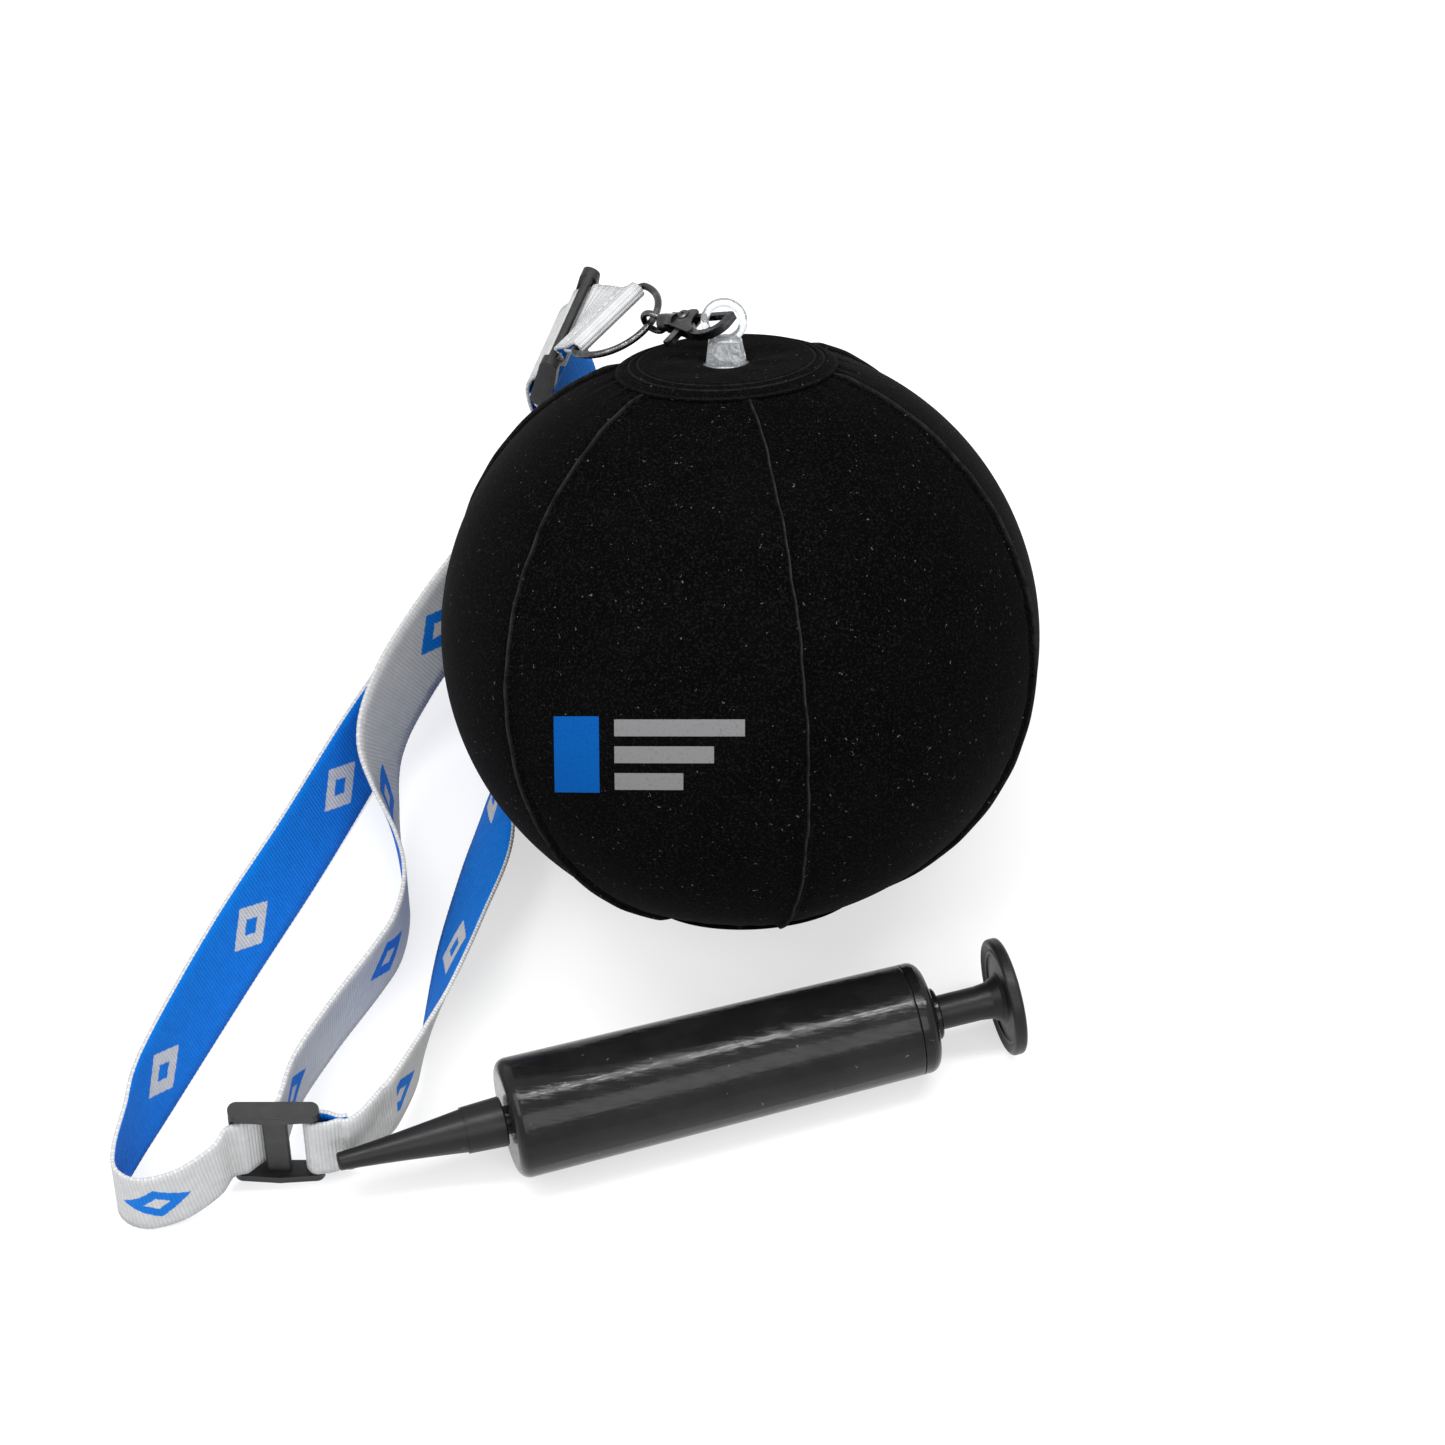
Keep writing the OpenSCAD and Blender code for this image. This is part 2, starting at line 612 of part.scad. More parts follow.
bar_side = bar_t / 2 + 0.4 + web_t / 2;       // from a bar's middle to the webbing on its face
turn_bar_x = slider_l / 2 - end_bar_w - 0.3 - web_t / 2;

// From the tab over the top slider's middle bar, down behind the ball, and round to the lower slider
long_side = concat(
    [on_tab(-tab_l - 0.2, lay), on_tab(-tab_l - 1, lay), on_tab(-tab_l - 2.5, lay)],
    [on_top(-13.5, -bar_side - 1.4), on_top(-11, -bar_side - 0.4), on_top(-9, -bar_side), on_top(-6.2, 0), on_top(-3.8, bar_side - 0.1)],
    [on_top(0, bar_side + 0.1), on_top(4, bar_side + 0.5), on_top(8.5, bar_side + 1.9)],
    [on_top(14, bar_side + 2.2), on_top(20, bar_side + 2.6)],
    [[-15, 111, 76, 0.36, 0.93, -0.1], [-23, 105, 59, 0.3, 0.77, -0.57], [-32, 94, 41, 0.3, 0.63, -0.7],
    [-43, 80, 27, 0.33, 0.43, -0.84], [-57, 62, 17, 0.3, 0.17, -0.94], [-65, 34, 12.5, 0.37, -0.05, -0.93],
    [-79, -2, 11.9, 0.4, -0.18, -0.9], [-97, -38, 11.9, 0.4, -0.18, -0.9], [-115, -78, 12.2, 0.3, -0.12, -0.95],
    [-121, -96, 12.6, 0.1, -0.05, -1], [-124.4, -108, 12.6, 0, 0, -1], [-123.4, -115, 12.6, 0, 0, -1],
    [-117, -118.4, 13, 0, 0, -1], [-107, -116.4, 14.2, 0, 0, -1]],
    [on_lower(-16.4, -9, 0.8), on_lower(-12.8, -3.6, 0.2), on_lower(-10, -bar_side - 0.1), on_lower(-8.5, -1.9),
    on_lower(-6.4, -0.1)]);

// From behind the lower slider's middle bar, up beside the ball, and round the top slider's last bar
return_side = concat(
    [on_lower(-6.33, 0), on_lower(-4.2, 1.8), on_lower(-1.6, 2.7), on_lower(0.4, 4.6), on_lower(1.4, 8, 0.4)],
    [[-77, -80, 14.4, 0, 0, -1], [-68, -62, 12.8, 0, 0, -1], [-57, -44, 12.6, 0, 0, -1],
    [-51, -33, 12.6, 0, 0, -1], [-48.5, -20, 12.6, 0, 0, -1], [-50.3, -7, 13.4, -0.2, 0, -0.98],
    [-54, 10, 17, -0.5, 0, -0.86], [-55, 25, 24, -0.75, 0.1, -0.65], [-50, 40, 32, -0.85, 0.4, -0.35],
    [-40, 56, 40, -0.72, 0.57, -0.4], [-30, 73, 50, -0.6, 0.55, -0.57], [-21, 88, 57, -0.35, 0.67, -0.65],
    [-14, 99, 66, -0.05, 0.83, -0.55], [-9.5, 106, 77, 0.25, 0.96, -0.1]],
    [on_top(20, bar_side + 0.2), on_top(14.5, bar_side), on_top(9.6, bar_side), on_top(turn_bar_x + 0.4, bar_side - 0.5)],
    [on_top(turn_bar_x, 0.9), on_top(turn_bar_x, -0.9), on_top(turn_bar_x + 0.4, 0.5 - bar_side)],
    [on_top(9.4, -bar_side), on_top(11, -bar_side)]);

// From the top slider's last bar, down beside the ball, and on to the sewn end
sewn_side = concat(
    [on_top(11.1, -bar_side), on_top(12.5, -bar_side), on_top(14.5, -bar_side), on_top(20, -bar_side - 0.4)],
    [[-5, 107, 77, 0.38, 0.93, 0], [-7, 103, 63, 0.35, 0.82, -0.45], [-10, 94, 47, 0.34, 0.71, -0.62],
    [-14, 79, 32, 0.33, 0.51, -0.79], [-19, 58, 20, 0.33, 0.33, -0.88], [-22.5, 37, 13.2, 0.33, 0.14, -0.93],
    [-23, 17, 12.2, 0.33, 0, -0.94], [-25, -6, 12.2, 0.33, -0.1, -0.94], [-33, -31, 12.4, 0.25, -0.08, -0.96],
    [-40, -57, 13, 0.1, 0, -1], [-44, -73, 14.8, 0, 0, -1]],
    [for (k = [3.6, 1.5, 0.12]) on_lower(sewn_tail[0] + k, sewn_tail[1] + 1.3 * k)]);

module strap_long_side() color(web_grey) strap(long_side);
module strap_return_side() color(web_grey) strap(return_side);
module strap_sewn_side() color(web_grey) strap(sewn_side);

// ---- Pump: +X from the nozzle to the handle, 0 at the barrel's nozzle end ----
pump_at = [-20, -94.6, barrel_r];
pump_dip = atan((barrel_r - disc_r) / (barrel_l + rod_out));
module on_pump() translate(pump_at - middle) rotate([0, pump_dip, pump_yaw]) rotate([0, 90, 0]) rotate(-90) children();

wall = 1.6;
end_wall = 3;
end_round = 3.2;
cap_l = 12;
spigot_r = 4;
spigot_l = 12;
air_r = 1;
nozzle_gap = 0.8;                    // of neck that shows between the barrel and the collar

// Quarter circle of points about a centre, from one angle to another
function arc(c, r, from, to, steps = 6) = [for (k = [0:steps]) c + r * [cos(from + (to - from) * k / steps),
    sin(from + (to - from) * k / steps)]];

// Barrel: a tapered tube, closed at the nozzle end round the air hole and its spigot
module pump_barrel() color(gloss_black) on_pump() difference() {
    rotate_extrude($fn = 96)
    polygon(concat(
        [[0, -spigot_l - nozzle_gap], [spigot_r - 0.4, -spigot_l - nozzle_gap],
        [spigot_r, -spigot_l - nozzle_gap + 0.6], [spigot_r, 0]],
        arc([barrel_r - end_round, end_round], end_round, -90, 0),
        arc([barrel_end_r - 0.6, barrel_l - cap_l / 2 - 0.6], 0.6, 0, 90, 3),
        [[bore_r, barrel_l - cap_l / 2], [bore_r, end_wall], [0, end_wall]]));
    translate([0, 0, -spigot_l - nozzle_gap - 1]) cylinder(r = air_r, h = spigot_l + end_wall + 4);
    translate([0, 0, -spigot_l - nozzle_gap - 1]) cylinder(r = flap_r + 0.1, h = flap_room + 1);
}

// Cap: a domed shoulder with the boss that guides the rod, its skirt pressed into the bore
module pump_cap() color(gloss_black) on_pump() {
    boss_r = rod_r + 2.4;
    guide_r = rod_r + running_gap;
    base = barrel_l - cap_l / 2;
    rotate_extrude($fn = 96)
    polygon(concat(
        [[guide_r, base - cap_l], [bore_r - 0.02, base - cap_l], [bore_r - 0.02, base]],
        [[barrel_end_r - 0.02, base], [barrel_end_r - 0.02, barrel_l - end_round - 1]],
        arc([barrel_end_r - end_round, barrel_l - end_round - 1], end_round, 0, 80),
        [[boss_r + 1, barrel_l - 0.4], [boss_r, barrel_l + 0.2], [boss_r, barrel_l + 1.2],
        [boss_r - 0.4, barrel_l + 1.6], [guide_r, barrel_l + 1.6]]));
}

// Nozzle: a collar with a long taper that curves in a little towards the tip
module pump_nozzle() color(black_plastic) on_pump() {
    collar_r = [7.3, 6.4];
    taper_r = 6;
    start = -nozzle_gap - collar_l;
    tip = start - nozzle_l;
    taper = [for (k = [0:6]) [tip_r + (taper_r - tip_r) * pow(k / 6, 1.25), tip + nozzle_l * k / 6]];
    rotate_extrude($fn = 64)
    polygon(concat(
        [[air_r, tip], [tip_r - 0.4, tip]],
        [for (p = taper) [p[0], max(p[1], tip + 0.4)]],
        [[collar_r[1], start], [collar_r[1], start + 0.4], [collar_r[0] - 0.4, -nozzle_gap - 0.4],
        [collar_r[0] - 0.8, -nozzle_gap], [spigot_r + running_gap, -nozzle_gap],
        [spigot_r + running_gap, -nozzle_gap - spigot_l - 0.6], [air_r, -nozzle_gap - spigot_l - 2]]));
}

// Rubber flap in the end of the spigot: it lets air out and not back
flap_r = 2.4;
flap_room = 1.6;
module outlet_flap() color(seal_black) on_pump()
    translate([0, 0, -spigot_l - nozzle_gap + 0.5])
    difference() {
        cylinder(r = flap_r, h = 1);
        translate([0, 0, -1]) cylinder(r = 0.4, h = 3);
    }

// Plunger: rod, piston with its cup seal, and the push disc
piston_at = 20;
piston_l = 9;
rod_end = barrel_l + rod_out;
module plunger_rod() color(black_plastic) on_pump() {
    flare_r = 6.5;
    rotate_extrude($fn = 64)
    polygon([[0, piston_at + 2], [2.5, piston_at + 2], [2.5, piston_at + piston_l],
        [rod_r, piston_at + piston_l], [rod_r, rod_end - 6], [rod_r + 0.4, rod_end - 2.5],
        [flare_r, rod_end - 0.2], [0, rod_end - 0.2]]);
}

seal_groove = [3, 5.6];              // along the piston
module piston() color(black_plastic) on_pump() {
    r = bore_r - 0.3;
    groove_r = bore_r - 2.6;
    rotate_extrude($fn = 72)
    polygon([[0, piston_at], [r, piston_at], [r, piston_at + seal_groove[0]],
        [groove_r, piston_at + seal_groove[0]], [groove_r, piston_at + seal_groove[1]],
        [r, piston_at + seal_groove[1]], [r, piston_at + piston_l - 0.02], [2.52, piston_at + piston_l - 0.02],
        [2.52, piston_at + 1.98], [0, piston_at + 1.98]]);
}

module piston_seal() color(seal_black) on_pump() {
    low = piston_at + seal_groove[0] + 0.05;
    high = piston_at + seal_groove[1] - 0.05;
    rotate_extrude($fn = 72)
    polygon([[bore_r - 2.55, low], [bore_r - 0.9, low], [bore_r - 0.05, high - 0.4],
        [bore_r - 0.05, high], [bore_r - 2.55, high]]);
}

// Push disc: a thin dish with a rounded rim and a hub
module push_disc() color(black_plastic) on_pump() {
    back = rod_end + 3.6;
    rotate_extrude($fn = 96)
    polygon(concat(
        [[0, rod_end - 0.18], [6.6, rod_end - 0.18], [7.4, rod_end + 0.6], [12, rod_end + 1],
        [12.4, rod_end + 0.5], [13, rod_end + 0.5], [13.4, rod_end + 0.9]],
        arc([disc_r - 1.1, rod_end + 1.1], 1.1, -90, 0, 4),
        arc([disc_r - 1.1, back - 1.1], 1.1, 0, 90, 4),
        [[0, back]]));
}

panel(1);  // panel_1
panel(2);  // panel_2
panel(3);  // panel_3
panel(4);  // panel_4
panel(5);  // panel_5
panel(6);  // panel_6
seam_welds();
top_patch();
bottom_patch();
hanging_loop();
air_valve();
valve_plug();
hook_body();
hook_gate();
hook_rivet();
gate_spring();
swivel_eye();
wire_ring();
strap_tab();
strap_long_side();
strap_return_side();
strap_sewn_side();
sewn_end();
top_slider();
lower_slider();
pump_barrel();
pump_cap();
pump_nozzle();
outlet_flap();
plunger_rod();
piston();
piston_seal();
push_disc();
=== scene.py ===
import math
import random

import bmesh
import bpy
from mathutils import Euler, Matrix, Vector


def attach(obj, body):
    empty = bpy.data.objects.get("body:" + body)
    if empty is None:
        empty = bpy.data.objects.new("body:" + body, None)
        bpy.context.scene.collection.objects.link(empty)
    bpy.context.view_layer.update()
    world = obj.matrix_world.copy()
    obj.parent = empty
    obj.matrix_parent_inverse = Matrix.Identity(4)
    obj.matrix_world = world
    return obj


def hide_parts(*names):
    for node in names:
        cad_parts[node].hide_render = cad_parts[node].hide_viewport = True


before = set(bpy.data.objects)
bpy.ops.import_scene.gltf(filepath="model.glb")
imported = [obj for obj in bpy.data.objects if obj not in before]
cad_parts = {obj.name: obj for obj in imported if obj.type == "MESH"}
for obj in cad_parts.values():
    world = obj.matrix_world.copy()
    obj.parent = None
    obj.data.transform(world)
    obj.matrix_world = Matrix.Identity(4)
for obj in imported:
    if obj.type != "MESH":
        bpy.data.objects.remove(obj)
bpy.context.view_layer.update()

mm = 0.001

# ---- Camera ----
# Stands a little over a metre and a half away, in front of the set, and looks down on it at 55 degrees.
# It aims below the ball's middle, so that the strap and the pump are in the picture as well.
tilt = math.radians(55)
sight = Vector((0, math.cos(tilt), -math.sin(tilt)))
image_up = Vector((0, math.sin(tilt), math.cos(tilt)))
ball_middle = Vector((43.6, 20.1, 79.713)) * mm
view_width = 393 * mm
camera_away = 1.6
camera = bpy.data.objects.new("camera", bpy.data.cameras.new("camera"))
camera.data.lens = camera.data.sensor_width * camera_away / view_width
camera.location = ball_middle + Vector((-4.8, 0, 0)) * mm - image_up * 24.6 * mm - sight * camera_away
camera.rotation_euler = (math.pi / 2 - tilt, 0, 0)
bpy.context.scene.collection.objects.link(camera)
bpy.context.scene.camera = camera
bpy.context.scene.view_settings.view_transform = "Standard"


# ---- Floor and light ----
# A white table that keeps a soft shadow near the set and is plain white farther out. A wide lamp stands at
# the left, a fill in front and a weak one behind, and two tubes hang over the pump.
# Every node graph is a chain of put() calls, whose feeds are numbers, colours or other nodes' outputs.
def put(tree, kind, feeds, **settings):
    made = tree.nodes.new("ShaderNode" + kind)
    for name, value in settings.items():
        setattr(made, name, value)
    for place, feed in feeds.items() if isinstance(feeds, dict) else enumerate(feeds):
        if isinstance(feed, bpy.types.NodeSocket):
            tree.links.new(feed, made.inputs[place])
        elif feed is not None:
            made.inputs[place].default_value = feed
    return made


def maths(tree, operation, *feeds):
    return put(tree, "Math", feeds, operation=operation).outputs[0]


def from_to(tree, value, low, high, to_low, to_high):
    return put(tree, "MapRange", (value, low, high, to_low, to_high)).outputs[0]


def object_place(tree):
    return tree.nodes.new("ShaderNodeTexCoord").outputs["Object"]


def is_seen_ray(tree):
    path = tree.nodes.new("ShaderNodeLightPath").outputs
    seen = maths(tree, "MAXIMUM", path["Is Camera Ray"], path["Is Glossy Ray"])
    return maths(tree, "MAXIMUM", seen, path["Is Transmission Ray"])


world = bpy.data.worlds.new("studio")
bpy.context.scene.world = world
world.use_nodes = True
studio = world.node_tree
ambient = 0.6
backdrop = studio.nodes["Background"]
backdrop.inputs["Color"].default_value = (1, 1, 1, 1)
studio.links.new(from_to(studio, is_seen_ray(studio), 0, 1, ambient, 1), backdrop.inputs["Strength"])

floor_material = bpy.data.materials.new("table_top")
floor_material.use_nodes = True
tree = floor_material.node_tree
shadow_share = 0.45
shadow_reach, white_from = 0.25, 0.75
floor_half = 6
tree.nodes.remove(tree.nodes["Principled BSDF"])
matt = put(tree, "BsdfDiffuse", {"Color": (0.93, 0.93, 0.93, 1)})
white = put(tree, "Emission", {"Color": (1, 1, 1, 1), "Strength": 1.0})
from_set = put(tree, "VectorMath", (object_place(tree),), operation="LENGTH").outputs["Value"]
plain_white = from_to(tree, from_set, shadow_reach, white_from, 1 - shadow_share, 1)
share = maths(tree, "MULTIPLY", is_seen_ray(tree), plain_white)
mixed = put(tree, "MixShader", (share, matt.outputs[0], white.outputs[0]))
tree.links.new(mixed.outputs[0], tree.nodes["Material Output"].inputs["Surface"])
bm = bmesh.new()
bmesh.ops.create_grid(bm, x_segments=2, y_segments=2, size=floor_half)
floor_mesh = bpy.data.meshes.new("table_top")
bm.to_mesh(floor_mesh)
bm.free()
floor_mesh.materials.append(floor_material)
table_top = bpy.data.objects.new("table_top", floor_mesh)
bpy.context.scene.collection.objects.link(table_top)


def lamp(name, place, towards, width, length, watts):
    light = bpy.data.lights.new(name, "AREA")
    light.shape, light.size, light.size_y, light.energy = "RECTANGLE", width, length, watts
    made = bpy.data.objects.new(name, light)
    made.location = place
    made.rotation_euler = (Vector(towards) - Vector(place)).to_track_quat("-Z", "Y").to_euler()
    bpy.context.scene.collection.objects.link(made)


lamp("wide_lamp", (-0.75, -0.35, 1.1), (0, 0, 0.06), 0.9, 0.9, 8.5)
lamp("fill_lamp", (0.3, -0.85, 0.85), (-0.03, 0, 0.03), 0.8, 0.6, 5)
lamp("back_lamp", (0.35, 0.9, 0.9), (0.03, 0.05, 0.1), 0.7, 0.5, 1)
tube_long, tube_thick = 1.1, 0.014
for tube, (y, z) in enumerate(((0.05, 0.95), (-0.03, 0.96))):
    lamp(f"tube_{tube + 1}", (0.05, y, z), (0.05, -0.09, 0), tube_long, tube_thick, 5)

# ---- Flocked sheet ----
# Vinyl sheet with a very short black nylon pile glued on, which takes nearly all light. Lint and dust cling
# to it, and the pile lies in small patches that were brushed one way or the other.
def colour_between(tree, share, first, second):
    mixed = put(tree, "Mix", {0: share, 6: first, 7: second}, data_type="RGBA")
    return mixed.outputs[2]


def new_group(name, takes, gives):
    group = bpy.data.node_groups.new(name, "ShaderNodeTree")
    for label, value in takes.items():
        kind = "NodeSocketVector" if value is None else "NodeSocketFloat"
        socket = group.interface.new_socket(label, in_out="INPUT", socket_type=kind)
        if value is not None:
            socket.default_value = value
    for label in gives:
        group.interface.new_socket(label, in_out="OUTPUT", socket_type="NodeSocketFloat")
    source = group.nodes.new("NodeGroupInput").outputs
    sink = group.nodes.new("NodeGroupOutput").inputs
    return group, source, sink


def use_group(tree, group, feeds):
    made = tree.nodes.new("ShaderNodeGroup")
    made.node_tree = group
    for label, feed in feeds.items():
        if isinstance(feed, bpy.types.NodeSocket):
            tree.links.new(feed, made.inputs[label])
        else:
            made.inputs[label].default_value = feed
    return made.outputs


def new_material(name, **sockets):
    made = bpy.data.materials.new(name)
    made.use_nodes = True
    shader = made.node_tree.nodes["Principled BSDF"]
    for label, value in sockets.items():
        shader.inputs[label.replace("_", " ")].default_value = value
    return made, made.node_tree, shader


def bump_onto(tree, shader, height, depth, strength=1.0):
    bump = put(tree, "Bump", {"Strength": strength, "Distance": depth, "Height": height})
    tree.links.new(bump.outputs[0], shader.inputs["Normal"])


specks, takes, gives = new_group("lint", {"Place": None, "Size": 1.0, "Share": 0.5}, ["Specks", "Haze"])
curl = put(specks, "TexNoise", {"Vector": takes["Place"], "Scale": 900.0, "Detail": 1.0})
bent = put(specks, "VectorMath", {0: curl.outputs["Color"], "Scale": 0.0022}, operation="SCALE")
bent = put(specks, "VectorMath", (takes["Place"], bent.outputs[0]), operation="ADD")
cell_scale = maths(specks, "DIVIDE", 260.0, takes["Size"])
cells = put(specks, "TexVoronoi", {"Vector": bent.outputs[0], "Scale": cell_scale})
near = from_to(specks, cells.outputs["Distance"], 0.1, 0.2, 1, 0)
chance = put(specks, "SeparateColor", {0: cells.outputs["Color"]}).outputs[0]
picked = maths(specks, "LESS_THAN", chance, takes["Share"])
specks.links.new(maths(specks, "MULTIPLY", near, picked), gives["Specks"])
cloud = put(specks, "TexNoise", {"Vector": takes["Place"], "Scale": 55.0, "Detail": 5.0, "Roughness": 0.65})
specks.links.new(from_to(specks, cloud.outputs["Fac"], 0.42, 0.72, 0, 1), gives["Haze"])

flock_black = (0.0009, 0.0009, 0.00095, 1)
dusty_black = (0.0018, 0.0018, 0.0019, 1)
swept_black = (0.0065, 0.0065, 0.0068, 1)
lint_grey = (0.085, 0.085, 0.088, 1)


def flock(name):
    made, tree, shader = new_material(
        name, Roughness=0.95, Specular_IOR_Level=0.01, Sheen_Weight=0.017, Sheen_Roughness=0.38,
        Sheen_Tint=(0.75, 0.75, 0.8, 1))
    place = object_place(tree)
    lint = use_group(tree, specks, {"Place": place, "Size": 0.36, "Share": 0.13})
    dulled = colour_between(tree, maths(tree, "MULTIPLY", lint["Haze"], 0.55), flock_black, dusty_black)
    pile = put(tree, "TexNoise", {"Vector": place, "Scale": 1500.0, "Detail": 3.0})
    swept = from_to(tree, pile.outputs["Fac"], 0.5, 0.75, 0, 1)
    dulled = colour_between(tree, swept, dulled, swept_black)
    dusty = colour_between(tree, maths(tree, "MULTIPLY", lint["Specks"], 0.8), dulled, lint_grey)
    tree.links.new(dusty, shader.inputs["Base Color"])
    rolls = put(tree, "TexNoise", {"Vector": place, "Scale": 900.0, "Detail": 3.0})
    height = maths(tree, "ADD", maths(tree, "MULTIPLY", pile.outputs["Fac"], 0.35), rolls.outputs["Fac"])
    bump_onto(tree, shader, height, 0.0003, 0.5)
    return made, tree, shader, dusty


black_flock = flock("black_flock")[0]

# ---- Ball: six panels ----
# Six gores of the flocked sheet, each flatter across than a sphere and drawn in a little along its welds.
# Inflated, the sheet puckers finely beside the welds and round the end patches.
# A piece's mesh is made in millimetres where it lies in the set, then brought to metres.
def new_piece(name, bm, materials, body, nodes):
    bmesh.ops.scale(bm, vec=(mm, mm, mm), verts=bm.verts)
    mesh = bpy.data.meshes.new(name)
    bm.to_mesh(mesh)
    bm.free()
    for face in mesh.polygons:
        face.use_smooth = True
    for material in materials:
        mesh.materials.append(material)
    piece = bpy.data.objects.new(name, mesh)
    bpy.context.scene.collection.objects.link(piece)
    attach(piece, body)
    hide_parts(*nodes)
    return piece


def modify(piece, kind, **settings):
    made = piece.modifiers.new(kind.lower(), kind)
    for name, value in settings.items():
        setattr(made, name, value)


panels, sheet_t = 6, 1.0
ball_half_h, corner_r, panel_dip = 79.5, 82.25, 1.2
middle_r = corner_r - panel_dip
half_panel = math.pi / panels
panel_back = (corner_r**2 - middle_r**2) / (2 * (middle_r - corner_r * math.cos(half_panel)))
seam_start = math.radians(44)
patch_r, patch_hole_r = 30, 23
ball_place = Matrix.Translation(ball_middle / mm) @ Euler(
    (math.radians(-35), math.radians(-3.5), 0)).to_matrix().to_4x4()
seam_arc = 80
puckers = random.Random(11)
waves = [(puckers.uniform(0.7, 1.25), puckers.uniform(0, math.tau), puckers.uniform(0, math.tau))
         for _ in range(2 * panels)]


def panel_out(rise, turn):
    """Distance of the sheet from the pole's axis, at a rise and at a turn from a panel's middle."""
    reach = middle_r * math.cos(rise) + panel_back
    return math.sqrt(reach**2 - (panel_back * math.sin(turn)) ** 2) - panel_back * math.cos(turn)


def sheet_point(rise, turn, azimuth, off):
    """A point of the sheet, moved outwards by off."""
    out = panel_out(rise, turn) + off * math.cos(rise)
    return Vector((out * math.cos(azimuth), out * math.sin(azimuth), (ball_half_h + off) * math.sin(rise)))


def pucker(seam, side, rise, away):
    """Fine folds across a weld, which die out within a few millimetres of it."""
    strength, shift, drift = waves[2 * seam + side]
    along = rise * seam_arc
    wave = math.sin(along / 1.45 + shift + 1.3 * math.sin(along / 9 + drift))
    slow = 0.5 + 0.5 * math.sin(along / 17 + 2 * shift)
    return 0.2 * strength * slow * wave * math.exp(-away / 3.2)


def rest_on_table(bm):
    """The lowest puckers are pressed flat on the table."""
    pressed_to = 0.02
    for vert in bm.verts:
        vert.co.z = max(vert.co.z, pressed_to)


panel_end = math.acos((patch_hole_r + 1) / middle_r)
print_material, tree, shader, ground = flock("printed_flock")

# A screen print on the front panel: one blue block beside three plain grey bars.
place = object_place(tree)
from_middle = put(tree, "VectorMath", (place, ball_middle), operation="SUBTRACT").outputs[0]
print_x = put(tree, "VectorMath", (from_middle, (1, 0, 0)), operation="DOT_PRODUCT").outputs["Value"]
print_y = put(tree, "VectorMath", (from_middle, image_up), operation="DOT_PRODUCT").outputs["Value"]
print_z = put(tree, "VectorMath", (from_middle, -sight), operation="DOT_PRODUCT").outputs["Value"]
in_front = maths(tree, "GREATER_THAN", print_z, 0.0)


def print_bar(tree, middle, size):
    """Mask of an upright rectangle in the print, with hard edges, in metres."""
    inside_x = maths(tree, "COMPARE", print_x, middle[0] * mm, size[0] / 2 * mm)
    inside_y = maths(tree, "COMPARE", print_y, middle[1] * mm, size[1] / 2 * mm)
    return maths(tree, "MULTIPLY", maths(tree, "MULTIPLY", inside_x, inside_y), in_front)


print_grey, print_blue = (0.138, 0.138, 0.141, 1), (0.002, 0.058, 0.235, 1)
bar_thick, bars_left = 4.4, -33
blue_block = print_bar(tree, (-43, -33), (12, 20))
grey_bars = 0.0
for height, length in ((-26, 34), (-33, 26), (-40, 18)):
    bar = print_bar(tree, (bars_left + length / 2, height), (length, bar_thick))
    grey_bars = maths(tree, "MAXIMUM", bar, grey_bars)
worn = put(tree, "TexNoise", {"Vector": place, "Scale": 1500.0, "Detail": 2.0})
inked = from_to(tree, worn.outputs["Fac"], 0.3, 0.42, 0.8, 1)
coloured = colour_between(tree, maths(tree, "MULTIPLY", grey_bars, inked), ground, print_grey)
coloured = colour_between(tree, maths(tree, "MULTIPLY", blue_block, inked), coloured, print_blue)
tree.links.new(coloured, shader.inputs["Base Color"])

printed_panel = 4
rises, turns = 108, 44
for number in range(panels):
    bm = bmesh.new()
    for k in range(rises + 1):
        bm.verts.new(sheet_point(panel_end * (2 * k / rises - 1), -half_panel, 0, 0))
    bm.verts.ensure_lookup_table()
    edges = [bm.edges.new((bm.verts[k], bm.verts[k + 1])) for k in range(rises)]
    bmesh.ops.spin(bm, geom=bm.verts[:] + edges, cent=(0, 0, 0), axis=(0, 0, 1), angle=2 * half_panel,
                   steps=turns)
    for vert in bm.verts:
        turn = min(max(math.atan2(vert.co.y, vert.co.x) - half_panel, -half_panel), half_panel)
        rise = math.asin(max(-1, min(1, vert.co.z / ball_half_h)))
        away = (half_panel - abs(turn)) * panel_out(rise, turn)
        side = 0 if turn < 0 else 1
        off = -0.35 * math.exp(-((away / 2.4) ** 2))
        off += pucker((number + side) % panels, 1 - side, rise, away)
        to_patch = (panel_out(rise, turn) - patch_r) / 5
        gather = math.sin(26 * turn + number) + 0.6 * math.sin(41 * turn + 2 * number)
        off += 0.14 * gather * math.exp(-max(to_patch, 0) ** 2) * min(1, away / 3)
        off += 0.1 * math.sin(3.1 * rise + 5 * turn + number)
        vert.co = sheet_point(rise, turn, turn + seam_start + half_panel * (2 * number + 1), off)
    bmesh.ops.recalc_face_normals(bm, faces=bm.faces)
    bmesh.ops.transform(bm, matrix=ball_place, verts=bm.verts)
    rest_on_table(bm)
    outward = sum(((f.calc_center_median() - ball_middle / mm).dot(f.normal) for f in bm.faces), 0.0)
    if outward < 0:
        bmesh.ops.reverse_faces(bm, faces=bm.faces)
    name = f"panel_{number + 1}"
    skin = print_material if number + 1 == printed_panel else black_flock
    piece = new_piece("ball_" + name, bm, [skin], "ball", [name])
    modify(piece, "SOLIDIFY", thickness=sheet_t * mm, offset=-1)


